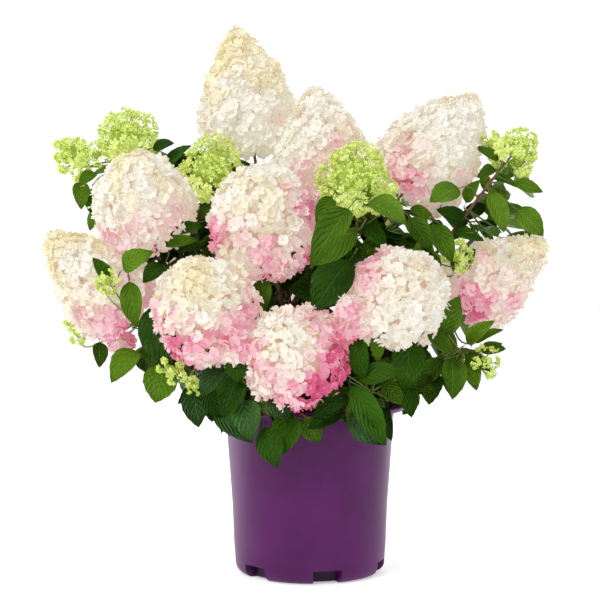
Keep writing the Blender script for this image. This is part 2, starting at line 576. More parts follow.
class Board:
    """A node tree, to which one method adds every kind of node."""

    def __init__(self, tree):
        self.tree = tree

    def node(self, kind, settings=None, sockets=None, out=0):
        """Adds a node, sets it up, fills its sockets with values or links, and gives one output."""
        node = self.tree.nodes.new(kind)
        for name, value in (settings or {}).items():
            if name == "stops":
                self.set_stops(node.color_ramp, value)
            else:
                setattr(node, name, value)
        for name, value in (sockets or {}).items():
            if isinstance(value, Term):
                self.tree.links.new(value.socket, node.inputs[name])
            else:
                node.inputs[name].default_value = value
        return Term(self, node.outputs[out]) if len(node.outputs) else None

    @staticmethod
    def set_stops(ramp, stops):
        while len(ramp.elements) < len(stops):
            ramp.elements.new(1.0)
        for element, (place, colour) in zip(ramp.elements, stops):
            element.position = place
            element.color = (*colour, 1.0)

    def blend(self, share, first, second):
        """Two colours mixed by a share from 0 to 1."""
        colours = [(*c, 1.0) if isinstance(c, tuple) else c for c in (first, second)]
        sockets = {0: share, 6: colours[0], 7: colours[1]}
        return self.node("ShaderNodeMix", {"data_type": "RGBA"}, sockets, out=2)

    def times(self, colour, factor):
        """A colour multiplied by a plain one."""
        sockets = {0: 1.0, 6: colour, 7: (*factor, 1.0)}
        return self.node("ShaderNodeMix", {"data_type": "RGBA", "blend_type": "MULTIPLY"}, sockets, out=2)

    def noise(self, scale, detail=3.0, place=None, rough=0.5):
        place = place or self.place()
        sockets = {"Vector": place, "Scale": scale, "Detail": detail, "Roughness": rough}
        return self.node("ShaderNodeTexNoise", {}, sockets)

    def place(self):
        return self.node("ShaderNodeTexCoord", {}, {}, out="Object")

    def axes(self, vector):
        """The three numbers of a vector."""
        node = self.tree.nodes.new("ShaderNodeSeparateXYZ")
        self.tree.links.new(vector.socket, node.inputs[0])
        return [Term(self, output) for output in node.outputs]

    def attribute(self, name):
        return self.node("ShaderNodeAttribute", {"attribute_name": name}, {}, out="Fac")


def finish_named(name):
    """A new material with an empty tree around its Principled shader, and its board."""
    finish = bpy.data.materials.new(name)
    finish.use_nodes = True
    return finish, Board(finish.node_tree), finish.node_tree.nodes["Principled BSDF"]


def feed(board, shader, colour, roughness, height=None, strength=0.3, distance=0.001):
    """Links colour, roughness and relief to a shader."""
    board.tree.links.new(colour.socket, shader.inputs["Base Color"])
    if isinstance(roughness, Term):
        board.tree.links.new(roughness.socket, shader.inputs["Roughness"])
    else:
        shader.inputs["Roughness"].default_value = roughness
    if height is not None:
        sockets = {"Strength": strength, "Distance": distance, "Height": height}
        bump = board.node("ShaderNodeBump", {}, sockets)
        board.tree.links.new(bump.socket, shader.inputs["Normal"])


def satin_plastic(name, colour):
    """Moulded plastic: faint flow marks down the wall, a dusty foot and a scuffed lip."""
    finish, board, shader = finish_named(name)
    place = board.place()
    height = board.axes(place)[2]
    clouds = board.noise(14.0, 3.0, place)
    stretched = board.node("ShaderNodeMapping", {}, {"Vector": place, "Scale": (1.0, 1.0, 0.12)})
    flow = board.noise(160.0, 2.0, stretched)
    grain = board.noise(1400.0, 1.0, place)
    dark = tuple(value * 0.80 for value in colour)
    light = tuple(min(1.0, value * 1.08 + 0.001) for value in colour)
    base = board.blend(clouds.between(0.3, 0.7), dark, light)
    dust = height.between(0.022, 0.0, 0.0, 0.10) * clouds
    base = board.blend(dust, base, srgb(130, 104, 128))
    scuff = height.between(0.240, 0.250, 0.0, 0.45) * (0.4 + flow * 0.6)
    base = board.blend(scuff, base, srgb(150, 96, 150))
    base = board.blend(board.attribute("shade") * 0.8, base, tuple(value * 0.12 for value in colour))
    roughness = 0.33 + clouds * 0.08 + grain * 0.05 + dust
    feed(board, shader, base, roughness, flow * 0.6 + grain * 0.25, 0.12, 0.0006)
    shader.inputs["Specular IOR Level"].default_value = 0.22
    return finish


def bark_mix(name):
    """Composted bark: brown crumbs from nearly black to tan."""
    finish, board, shader = finish_named(name)
    cells = board.node("ShaderNodeTexVoronoi", {}, {"Vector": board.place(), "Scale": 260.0}, out="Color")
    tone = board.axes(cells)[0]
    grain = board.noise(900.0, 4.0)
    base = board.node("ShaderNodeValToRGB", {"stops": (
        (0.0, srgb(38, 26, 18)), (0.45, srgb(70, 48, 32)), (0.8, srgb(104, 74, 48)), (1.0, srgb(140, 108, 74)),
    )}, {0: tone * 0.75 + grain * 0.25})
    feed(board, shader, base, 0.88 + grain * 0.1, grain, 0.5, 0.0008)
    return finish


def bark(name):
    """Grey-brown bark with long darker fissures and pale flakes."""
    finish, board, shader = finish_named(name)
    place = board.place()
    stretched = board.node("ShaderNodeMapping", {}, {"Vector": place, "Scale": (1.0, 1.0, 0.22)})
    fissure = board.noise(420.0, 5.0, stretched, 0.6)
    patch = board.noise(70.0, 3.0, place)
    base = board.blend(patch.between(0.35, 0.65), srgb(112, 84, 62), srgb(150, 126, 104))
    base = board.blend(fissure.between(0.62, 0.38), base, srgb(66, 44, 32))
    feed(board, shader, base, 0.74 + patch * 0.16, fissure, 0.6, 0.0012)
    return finish


def young_stem(name, red_from, red_to):
    """Green young wood, flushed red-brown in patches and dotted with pale pores."""
    finish, board, shader = finish_named(name)
    place = board.place()
    flush = board.noise(16.0, 2.0, place)
    pores = board.node("ShaderNodeTexVoronoi", {}, {"Vector": place, "Scale": 420.0})
    base = board.blend(flush.between(red_from, red_to), srgb(98, 124, 48), srgb(120, 66, 48))
    base = board.blend(pores.between(0.22, 0.10, 0.0, 0.7), base, srgb(186, 162, 120))
    feed(board, shader, base, 0.46 + flush * 0.2, pores, 0.25, 0.0006)
    return finish


def leaf_finish(name, deep, light, sheen):
    """A leaf: paler midrib and bowed side veins with quilted flesh between, on the leaf's own map."""
    finish, board, shader = finish_named(name)
    across, along, _ = board.axes(board.node("ShaderNodeUVMap", {"uv_map": "leaf"}, {}))
    aside = abs(across - 0.5)
    midrib = aside.between(0.030, 0.010)
    rise = along * 6.6 - aside * 4.6 - aside * aside * 3.4 + board.noise(26.0, 1.0) * 0.9
    ridge = abs((rise + 20.0).fraction() - 0.5)
    vein = ridge.between(0.10, 0.02) * aside.between(0.47, 0.40)
    patch = board.noise(34.0, 3.0)
    grain = board.noise(520.0, 2.0)
    tone = board.attribute("shade")
    flesh = board.blend(tone * 0.62 + patch * 0.38, deep, light)
    flesh = board.blend(ridge.between(0.16, 0.5) * 0.07, flesh, tuple(value * 0.62 for value in deep))
    pale = tuple(min(1.0, value * 1.35 + 0.02) for value in light)
    flesh = board.blend(vein * 0.07, flesh, pale)
    flesh = board.blend(midrib * 0.40, flesh, pale)
    flesh = board.blend(aside.between(0.20, 0.46) * patch.between(0.35, 0.65) * 0.16, flesh, pale)
    cells = board.node("ShaderNodeTexVoronoi", {}, {"Vector": board.place(), "Scale": 260.0})
    quilt = ridge.between(0.0, 0.5) * 0.9 + (1.0 - cells) * 0.7 + grain * 0.2 - midrib * 0.8
    feed(board, shader, flesh, 0.26 + patch * 0.14 + grain * 0.05, quilt, 0.85, 0.0024)
    shader.inputs["Specular IOR Level"].default_value = sheen
    return finish


def petal_finish(name, colour, further, heart):
    """A sepal: its own tint on the way to the next, with fine veins, and lit a little from within."""
    finish, board, shader = finish_named(name)
    across, along, _ = board.axes(board.node("ShaderNodeUVMap", {"uv_map": "leaf"}, {}))
    aside = abs(across - 0.5)
    tone = board.attribute("shade")
    patch = board.noise(60.0, 2.0)
    base = board.blend(tone * 0.9 + patch * 0.1, colour, further)
    base = board.blend(along.between(0.30, 0.0, 0.0, 0.5), base, heart)
    veins = ((across * 58.0).wave() * 0.5 + 0.5) * aside.between(0.5, 0.1)
    base = board.blend(veins * along * 0.12 + patch * 0.10, base, board.times(base, (0.95, 0.88, 0.84)))
    thrown = board.times(base, (PETAL_SHARE,) * 3)
    feed(board, shader, thrown, 0.60 + patch * 0.1, veins + patch, 0.18, 0.0005)
    glow_through(board, shader, board.times(base, GLOW_TINT), PETAL_GLOW)
    return finish


def heart_finish(name, dark, light):
    """The crowded petals deep in a head: pale, with darker hollows between them."""
    finish, board, shader = finish_named(name)
    cells = board.node("ShaderNodeTexVoronoi", {}, {"Vector": board.place(), "Scale": 190.0})
    patch = board.noise(40.0, 2.0)
    base = board.blend(cells.between(0.75, 0.30) * 0.8 + patch * 0.2, dark, light)
    feed(board, shader, board.times(base, (PETAL_SHARE,) * 3), 0.7, cells, 0.9, 0.003)
    glow_through(board, shader, board.times(base, GLOW_TINT), PETAL_GLOW)
    return finish


def glow_through(board, shader, base, strength):
    """Stands in for the light that thin petals let through."""
    board.tree.links.new(base.socket, shader.inputs["Emission Color"])
    shader.inputs["Emission Strength"].default_value = strength
    shader.inputs["Specular IOR Level"].default_value = 0.25


def bud_finish(name, deep, light):
    """Buds and young sepals: lime green, yellower where the light reaches them."""
    finish, board, shader = finish_named(name)
    tone = board.attribute("shade")
    patch = board.noise(90.0, 2.0)
    base = board.blend(tone * 0.7 + patch * 0.3, deep, light)
    feed(board, shader, base, 0.5 + patch * 0.12, patch, 0.2, 0.0006)
    glow_through(board, shader, base, BUD_GLOW)
    return finish


# Geometry trees
def new_growth(name, inputs):
    """An empty geometry tree with its named inputs, its board and its input node's outputs by name."""
    tree = bpy.data.node_groups.new(name, "GeometryNodeTree")
    tree.interface.new_socket("Geometry", in_out="INPUT", socket_type="NodeSocketGeometry")
    tree.interface.new_socket("Geometry", in_out="OUTPUT", socket_type="NodeSocketGeometry")
    for label, kind in inputs:
        tree.interface.new_socket(label, in_out="INPUT", socket_type=kind)
    board = Board(tree)
    source = tree.nodes.new("NodeGroupInput")
    given = {output.name: Term(board, output) for output in source.outputs if output.name}
    return tree, board, given


def close_growth(board, shape, finish):
    """Ends a tree with real geometry in one material."""
    real = board.node("GeometryNodeRealizeInstances", {}, {"Geometry": shape})
    made = board.node("GeometryNodeSetMaterial", {}, {"Geometry": real, "Material": finish})
    board.node("NodeGroupOutput", {}, {"Geometry": made})


def dealing_tree():
    """Sets one of a collection's shapes on every point, by the point's own turn, size and kind."""
    tree, board, given = new_growth("deal_shapes", (
        ("Shapes", "NodeSocketCollection"), ("Scale", "NodeSocketFloat"), ("Material", "NodeSocketMaterial"),
    ))
    shapes = board.node("GeometryNodeCollectionInfo", {}, {
        "Collection": given["Shapes"], "Separate Children": True, "Reset Children": True,
    })

    def own(label, kind, out):
        return board.node("GeometryNodeInputNamedAttribute", {"data_type": kind}, {"Name": label}, out=out)

    turn = board.node("FunctionNodeEulerToRotation", {}, {"Euler": own("turn", "FLOAT_VECTOR", 0)})
    size = board.node("ShaderNodeVectorMath", {"operation": "SCALE"}, {
        0: own("size", "FLOAT_VECTOR", 0), "Scale": given["Scale"],
    })
    dealt = board.node("GeometryNodeInstanceOnPoints", {}, {
        "Points": given["Geometry"], "Instance": shapes, "Pick Instance": True,
        "Instance Index": own("kind", "INT", 0), "Rotation": turn, "Scale": size,
    })
    close_growth(board, dealt, given["Material"])
    return tree


def limb_tree():
    """Skins paths with a round limb of their own radius, roughened by bark relief."""
    tree, board, given = new_growth("skin_limbs", (
        ("Sides", "NodeSocketInt"), ("Relief", "NodeSocketFloat"), ("Grain", "NodeSocketFloat"),
        ("Material", "NodeSocketMaterial"),
    ))
    ring = board.node("GeometryNodeCurvePrimitiveCircle", {}, {"Resolution": given["Sides"], "Radius": 1.0})
    skin = board.node("GeometryNodeCurveToMesh", {}, {
        "Curve": given["Geometry"], "Profile Curve": ring, "Fill Caps": True,
        "Scale": board.node("GeometryNodeInputRadius"),
    })
    relief = board.node("ShaderNodeTexNoise", {}, {"Scale": given["Grain"], "Detail": 3.0})
    normal = board.node("GeometryNodeInputNormal", {}, {})
    height = (relief - 0.5) * given["Relief"]
    offset = board.node("ShaderNodeVectorMath", {"operation": "SCALE"}, {0: normal, "Scale": height})
    rough = board.node("GeometryNodeSetPosition", {}, {"Geometry": skin, "Offset": offset})
    close_growth(board, rough, given["Material"])
    return tree


def chip_tree():
    """Strews chips over a surface at random turns and sizes."""
    tree, board, given = new_growth("strew_chips", (
        ("Chips", "NodeSocketCollection"), ("Density", "NodeSocketFloat"), ("Seed", "NodeSocketInt"),
        ("Material", "NodeSocketMaterial"),
    ))
    spots = board.node("GeometryNodeDistributePointsOnFaces", {}, {
        "Mesh": given["Geometry"], "Density": given["Density"], "Seed": given["Seed"],
    })
    chips = board.node("GeometryNodeCollectionInfo", {}, {
        "Collection": given["Chips"], "Separate Children": True, "Reset Children": True,
    })
    turn = board.node("FunctionNodeRandomValue", {"data_type": "FLOAT_VECTOR"}, {
        "Min": (-0.7, -0.7, -3.1), "Max": (0.7, 0.7, 3.1), "Seed": given["Seed"],
    })
    size = board.node("FunctionNodeRandomValue", {"data_type": "FLOAT"}, {2: 0.45, 3: 1.25, "Seed": 5}, out=1)
    strewn = board.node("GeometryNodeInstanceOnPoints", {}, {
        "Points": spots, "Instance": chips, "Pick Instance": True, "Rotation": turn, "Scale": size,
    })
    both = board.node("GeometryNodeJoinGeometry", {}, {"Geometry": strewn})
    board.tree.links.new(given["Geometry"].socket, both.socket.node.inputs["Geometry"])
    close_growth(board, both, given["Material"])
    return tree


def tree_named(name, maker):
    return bpy.data.node_groups.get(name) or maker()


def grown(piece, tree, values):
    """The piece with a geometry tree's result as its own plain mesh."""
    modifier = piece.modifiers.new(tree.name, "NODES")
    modifier.node_group = tree
    for item in tree.interface.items_tree:
        if item.item_type == "SOCKET" and item.in_out == "INPUT" and item.name in values:
            modifier[item.identifier] = values[item.name]
    return settled(piece)


def settled(piece):
    """The piece as a plain mesh object, with its modifiers applied and removed."""
    graph = bpy.context.evaluated_depsgraph_get()
    mesh = bpy.data.meshes.new_from_object(piece.evaluated_get(graph))
    if piece.type == "MESH":
        piece.modifiers.clear()
        piece.data = mesh
        made = piece
    else:
        name = piece.name
        bpy.data.objects.remove(piece)
        made = bpy.data.objects.new(name, mesh)
        bpy.context.scene.collection.objects.link(made)
    made.data.name = made.name
    return made


# Meshes
def new_piece(name, mesh):
    """An object in the scene for a mesh."""
    piece = bpy.data.objects.new(name, mesh)
    bpy.context.scene.collection.objects.link(piece)
    return piece


def sheet_mesh(name, points, faces, spots):
    """A smooth mesh with a map from each point's spot on its own sheet."""
    mesh = bpy.data.meshes.new(name)
    mesh.from_pydata(points, [], faces)
    sheet = mesh.uv_layers.new(name="leaf")
    for loop in mesh.loops:
        sheet.data[loop.index].uv = spots[loop.vertex_index]
    mesh.shade_smooth()
    return mesh


BLADE = (
    (0.00, 0.00), (0.04, 0.26), (0.10, 0.52), (0.18, 0.76), (0.27, 0.91), (0.37, 0.99), (0.47, 1.00),
    (0.57, 0.95), (0.67, 0.84), (0.76, 0.68), (0.84, 0.49), (0.91, 0.29), (0.96, 0.14), (1.00, 0.0),
)


LEAF_FORMS = (
    LeafForm(0.46, 0.18, 0.10, 0.010), LeafForm(0.26, 0.28, -0.20, 0.014), LeafForm(0.62, 0.22, 0.25, 0.008),
    LeafForm(0.38, 0.12, -0.10, 0.018), LeafForm(0.52, 0.32, 0.05, 0.012), LeafForm(0.20, 0.20, 0.35, 0.016),
)


def leaf_mesh(name, form, width):
    """A pointed, toothed leaf of unit length along +Y on its stalk, folded, bowed and quilted."""
    fold, droop, twist, wave = form
    stalk = 0.11
    points = []
    spots = []
    faces = []

    def placed(side, along):
        bow = -droop * along * along
        lift = fold * (0.35 * abs(side) + 1.3 * side * side / width)
        lift += wave * math.sin(along * 9.0 + side * 2.0) * abs(side) * 4.0
        spin = twist * along
        x = side * math.cos(spin) - lift * math.sin(spin)
        z = side * math.sin(spin) + lift * math.cos(spin)
        return (x, along - droop * 0.35 * along * along, z + bow)

    rows = []
    for index, (share, breadth) in enumerate(BLADE):
        along = stalk + (1.0 - stalk) * share
        tooth = 1.0 + (0.020 if index % 2 else -0.012)
        half = breadth * width / 2 * tooth
        row = []
        for column in (-1.0, -0.5, 0.0, 0.5, 1.0):
            if half == 0.0 and column != 0.0:
                row.append(None)
                continue
            side = half * column
            x, y, z = placed(side, along + (0.012 * abs(column) if index % 2 else 0.0))
            if abs(column) == 0.5:
                z += 0.007 * (1 if index % 2 else -1)
            if column == 0.0:
                z -= 0.006
            row.append(len(points))
            points.append((x, y, z))
            spots.append((0.5 + column * 0.5, share))
        rows.append(row)
    for near, far in zip(rows, rows[1:]):
        for left, right in zip(range(4), range(1, 5)):
            corners = [near[left], near[right], far[right], far[left]]
            corners = [corner for corner in dict.fromkeys(
                near[2] if c is None and n else far[2] if c is None else c
                for c, n in zip(corners, (True, True, False, False))
            )]
            if len(corners) > 2:
                faces.append(corners)
    first = len(points)
    for share in (0.0, 1.0):
        for corner in range(3):
            angle = math.tau * corner / 3 + math.pi / 2
            x, y, z = placed(0.0, stalk * share * 1.5)
            points.append((x + 0.011 * math.cos(angle), y, z - 0.009 + 0.011 * math.sin(angle)))
            spots.append((0.5, 0.5))
    for corner in range(3):
        after = (corner + 1) % 3
        faces.append([first + corner, first + after, first + 3 + after, first + 3 + corner])
    return sheet_mesh(name, points, faces, spots)


def floret_mesh(name, cup, breadth, seed):
    """A floret of unit radius that faces +Z: four rounded, cupped sepals round a small bead."""
    draw = random.Random(seed)
    points = []
    spots = []
    faces = []
    for sepal in range(4):
        angle = math.tau * sepal / 4 + draw.uniform(-0.12, 0.12)
        reach = draw.uniform(0.88, 1.08)
        lift = draw.uniform(-0.06, 0.10) + (0.05 if sepal % 2 else 0.0)
        outline = ((0.36, 0.40), (0.70, 0.48), (0.92, 0.32))
        first = len(points)
        local = [(0.05, 0.0, 0.0, 0.5, 0.0)]
        for along, half in outline:
            for column in (-1, 0, 1):
                rim = cup * along * along + 0.16 * abs(column) * along
                push = 0.09 if column == 0 and along > 0.9 else 0.0
                local.append((along + push, column * half * breadth, rim, 0.5 + column * 0.5, along))
        for out, side, height, u, v in local:
            x = out * reach
            points.append((
                x * math.cos(angle) - side * math.sin(angle),
                x * math.sin(angle) + side * math.cos(angle),
                height + lift * out + draw.uniform(-0.05, 0.05),
            ))
            spots.append((u, v))
        faces += [[first, first + 2, first + 1], [first, first + 3, first + 2]]
        for start in (first + 1, first + 4):
            faces += [[start, start + 1, start + 4, start + 3], [start + 1, start + 2, start + 5, start + 4]]
    first = len(points)
    for x, y, z in ((0.09, 0, 0.04), (0, 0.09, 0.04), (-0.09, 0, 0.04), (0, -0.09, 0.04), (0, 0, 0.15)):
        points.append((x, y, z))
        spots.append((0.5, 0.0))
    faces += [[first + side, first + (side + 1) % 4, first + 4] for side in range(4)]
    return sheet_mesh(name, points, faces, spots)


def sprout_mesh(name, cup, seed):
    """A young floret of unit radius that faces +Z: four kite-shaped sepals, each folded on its rib."""
    draw = random.Random(seed)
    points = []
    spots = []
    faces = []
    for sepal in range(4):
        angle = math.tau * sepal / 4 + draw.uniform(-0.15, 0.15)
        reach = draw.uniform(0.85, 1.1)
        first = len(points)
        for out, side, height in ((0.0, 0.0, 0.0), (0.62, -0.42, cup * 0.5), (1.0, 0.0, cup), (0.62, 0.42, cup * 0.5)):
            x = out * reach
            points.append((
                x * math.cos(angle) - side * math.sin(angle), x * math.sin(angle) + side * math.cos(angle),
                height + draw.uniform(-0.04, 0.04),
            ))
            spots.append((0.5 + side, out))
        faces += [[first, first + 1, first + 2], [first, first + 2, first + 3]]
    return sheet_mesh(name, points, faces, spots)


def bud_mesh(name):
    """A small round bud of unit radius."""
    shape = bmesh.new()
    bmesh.ops.create_icosphere(shape, subdivisions=1, radius=1.0)
    mesh = bpy.data.meshes.new(name)
    shape.to_mesh(mesh)
    shape.free()
    mesh.shade_smooth()
    return mesh


def shape_box(name, meshes):
    """A collection that holds one object for each shape to be dealt out."""
    box = bpy.data.collections.new(name)
    bpy.context.scene.collection.children.link(box)
    for index, mesh in enumerate(meshes):
        box.objects.link(bpy.data.objects.new(f"{name}_{index:02d}", mesh))
    return box


def empty_box(box):
    """Removes a collection of shapes once they have been dealt out."""
    for shape in list(box.objects):
        bpy.data.objects.remove(shape)
    bpy.data.collections.remove(box)


def dealt(name, spots, box, finish, scale=1.0):
    """One joined piece with a shape from the box on every spot."""
    mesh = bpy.data.meshes.new(name)
    mesh.from_pydata([spot.at for spot in spots], [], [])
    for label, kind, field, values in (
        ("turn", "FLOAT_VECTOR", "vector", [value for spot in spots for value in spot.turn]),
        ("size", "FLOAT_VECTOR", "vector", [value for spot in spots for value in spot.size]),
        ("kind", "INT", "value", [spot.kind for spot in spots]),
        ("shade", "FLOAT", "value", [spot.shade for spot in spots]),
    ):
        mesh.attributes.new(label, kind, "POINT").data.foreach_set(field, values)
    piece = new_piece(name, mesh)
    tree = tree_named("deal_shapes", dealing_tree)
    piece = grown(piece, tree, {"Shapes": box, "Scale": scale, "Material": finish})
    for label in ("turn", "size", "kind"):
        if label in piece.data.attributes:
            piece.data.attributes.remove(piece.data.attributes[label])
    return piece


def skinned(name, limbs, sides, relief, grain, finish):
    """One joined piece of round limbs, each a list of points and their radii."""
    curve = bpy.data.curves.new(name, "CURVE")
    curve.dimensions = "3D"
    for points, radii in limbs:
        spline = curve.splines.new("POLY")
        spline.points.add(len(points) - 1)
        for slot, point, radius in zip(spline.points, points, radii):
            slot.co = (*point, 1.0)
            slot.radius = radius
    path = bpy.data.objects.new(name, curve)
    bpy.context.scene.collection.objects.link(path)
    tree = tree_named("skin_limbs", limb_tree)
    values = {"Sides": sides, "Relief": relief, "Grain": grain, "Material": finish}
    piece = grown(path, tree, values)
    piece.data.shade_smooth()
    return piece


def tapering(points, first_radius, last_radius):
    """One radius for each point, falling evenly with the distance."""
    total = path_length(points)
    gone = 0.0
    radii = [first_radius]
    for near, far in zip(points, points[1:]):
        gone += (far - near).length
        radii.append(first_radius + (last_radius - first_radius) * gone / total)
    return radii


def turned_mesh(name, profile, sides):
    """A closed solid of revolution from a profile of radii and heights, poles included."""
    shape = bmesh.new()
    rings = []
    for radius, height in profile:
        if radius == 0.0:
            rings.append([shape.verts.new((0.0, 0.0, height))])
            continue
        ring = []
        for side in range(sides):
            angle = math.tau * side / sides
            ring.append(shape.verts.new((radius * math.cos(angle), radius * math.sin(angle), height)))
        rings.append(ring)
    for upper, lower in zip(rings, rings[1:]):
        for side in range(sides):
            after = (side + 1) % sides
            corners = [upper[side % len(upper)], upper[after % len(upper)]]
            corners += [lower[after % len(lower)], lower[side % len(lower)]]
            corners = list(dict.fromkeys(corners))
            shape.faces.new(corners)
    bmesh.ops.recalc_face_normals(shape, faces=shape.faces)
    mesh = bpy.data.meshes.new(name)
    shape.to_mesh(mesh)
    shape.free()
    mesh.shade_smooth()
    return mesh


def rounded(profile, radius, steps=4):
    """The profile with each inner corner replaced by a small arc."""
    made = [profile[0]]
    for before, corner, after in zip(profile, profile[1:], profile[2:]):
        before, corner, after = Vector(before), Vector(corner), Vector(after)
        room = min((before - corner).length, (after - corner).length) * 0.45
        cut = min(radius, room)
        start = corner + (before - corner).normalized() * cut
        end = corner + (after - corner).normalized() * cut
        for step in range(steps + 1):
            t = step / steps
            point = start.lerp(corner, t).lerp(corner.lerp(end, t), t)
            made.append((point.x, point.y))
    return made + [profile[-1]]


# Sizes and colours
class PotSettings(bpy.types.PropertyGroup):
    """The pot and its filling."""

    colour: bpy.props.FloatVectorProperty(
        name="Plastic colour", description="Colour of the moulded pot", subtype="COLOR", size=3,
        min=0.0, max=1.0, default=(0.092, 0.006, 0.100),
    )
    sides: bpy.props.IntProperty(
        name="Sides", description="Steps round the pot's wall", default=360, min=24, max=512,
    )
    notches: bpy.props.IntProperty(
        name="Notches", description="Recesses round the pot's foot", default=6, min=0, max=12,
    )
    notch_first: bpy.props.FloatProperty(
        name="First notch", description="Where round the foot the first notch stands",
        default=math.radians(-77.0), subtype="ANGLE", unit="ROTATION",
    )
    notch_width: bpy.props.FloatProperty(
        name="Notch width", description="Width of one notch round the foot",
        default=0.041, subtype="DISTANCE", unit="LENGTH",
    )
    notch_height: bpy.props.FloatProperty(
        name="Notch height", description="Height of one notch above the ground",
        default=0.0185, subtype="DISTANCE", unit="LENGTH",
    )
    notch_depth: bpy.props.FloatProperty(
        name="Notch depth", description="How far a notch goes in from the wall",
        default=0.0145, subtype="DISTANCE", unit="LENGTH",
    )
    chips: bpy.props.FloatProperty(
        name="Chips", description="Bark chips for each square metre of potting mix", default=42000.0, min=0.0,
    )


class LimbSettings(bpy.types.PropertyGroup):
    """Trunk, boughs and twigs."""

    trunk_radius: bpy.props.FloatProperty(
        name="Trunk radius", description="Radius of the trunk above its root flare",
        default=0.0125, subtype="DISTANCE", unit="LENGTH",
    )
    bough_radius: bpy.props.FloatProperty(
        name="Bough radius", description="Radius of a bough at the fork",
        default=0.0054, subtype="DISTANCE", unit="LENGTH",
    )
    stem_radius: bpy.props.FloatProperty(
        name="Stem radius", description="Radius of a leafy stem where it leaves its bough",
        default=0.0034, subtype="DISTANCE", unit="LENGTH",
    )
    twig_radius: bpy.props.FloatProperty(
        name="Twig radius", description="Radius of a side twig", default=0.0016, subtype="DISTANCE", unit="LENGTH",
    )
    relief: bpy.props.FloatProperty(
        name="Bark relief", description="Height of the bark's ridges", default=0.0012,
        subtype="DISTANCE", unit="LENGTH",
    )


class LeafSettings(bpy.types.PropertyGroup):
    """Leaves and their spacing."""

    length: bpy.props.FloatProperty(
        name="Leaf length", description="Length of a full leaf with its stalk",
        default=0.080, subtype="DISTANCE", unit="LENGTH",
    )
    width: bpy.props.FloatProperty(
        name="Leaf width", description="Width of a leaf as a share of its length", default=0.52,
        min=0.1, max=1.0, subtype="FACTOR",
    )
    spacing: bpy.props.FloatProperty(
        name="Whorl spacing", description="Distance between whorls of leaves along a stem",
        default=0.026, subtype="DISTANCE", unit="LENGTH",
    )
    twig_length: bpy.props.FloatProperty(
        name="Twig length", description="Length of a side twig", default=0.062,
        subtype="DISTANCE", unit="LENGTH",
    )
    seed: bpy.props.IntProperty(name="Seed", description="Which of the possible shrubs is grown", default=7)


class HeadSettings(bpy.types.PropertyGroup):
    """Flower heads."""

    florets: bpy.props.IntProperty(
        name="Florets", description="Florets on a large flower head", default=780, min=10, max=3000,
    )
    floret_radius: bpy.props.FloatProperty(
        name="Floret radius", description="Radius of one open floret", default=0.0104,
        subtype="DISTANCE", unit="LENGTH",
    )
    buds: bpy.props.IntProperty(
        name="Buds", description="Buds on a young green head", default=1100, min=10, max=2000,
    )
    bud_radius: bpy.props.FloatProperty(
        name="Bud radius", description="Radius of one closed bud", default=0.0022,
        subtype="DISTANCE", unit="LENGTH",
    )


class StageSettings(bpy.types.PropertyGroup):
    """Floor, lights and camera."""

    floor_colour: bpy.props.FloatVectorProperty(
        name="Floor colour", description="Colour of the plain floor", subtype="COLOR", size=3,
        min=0.0, max=1.0, default=(0.90, 0.90, 0.90),
    )
    floor_glow: bpy.props.FloatProperty(
        name="Floor glow", description="Light that the floor gives of itself, as a lit studio sweep does",
        default=0.42, min=0.0,
    )
    lens: bpy.props.FloatProperty(
        name="Lens", description="Focal length of the camera in millimetres", default=80.0,
        subtype="DISTANCE_CAMERA", unit="CAMERA",
    )
    distance: bpy.props.FloatProperty(
        name="Camera distance", description="From the camera to the plant's middle", default=2.0,
        subtype="DISTANCE", unit="LENGTH",
    )


def ride_as(piece, nodes):
    """Seats a finished piece on the plant's body for the solids that it stands for."""
    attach(piece, "root")
    if nodes:
        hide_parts(*nodes)
    return piece


def spot_on(at, across, along, normal, size, kind, shade, wide=1.0):
    """A spot whose shape has its X, Y and Z along the three directions, and may be wider than it is long."""
    turn = Matrix((across, along, normal)).transposed().to_euler("XYZ")
    return Spot(tuple(at), tuple(turn), (size * wide, size, size), kind, shade)


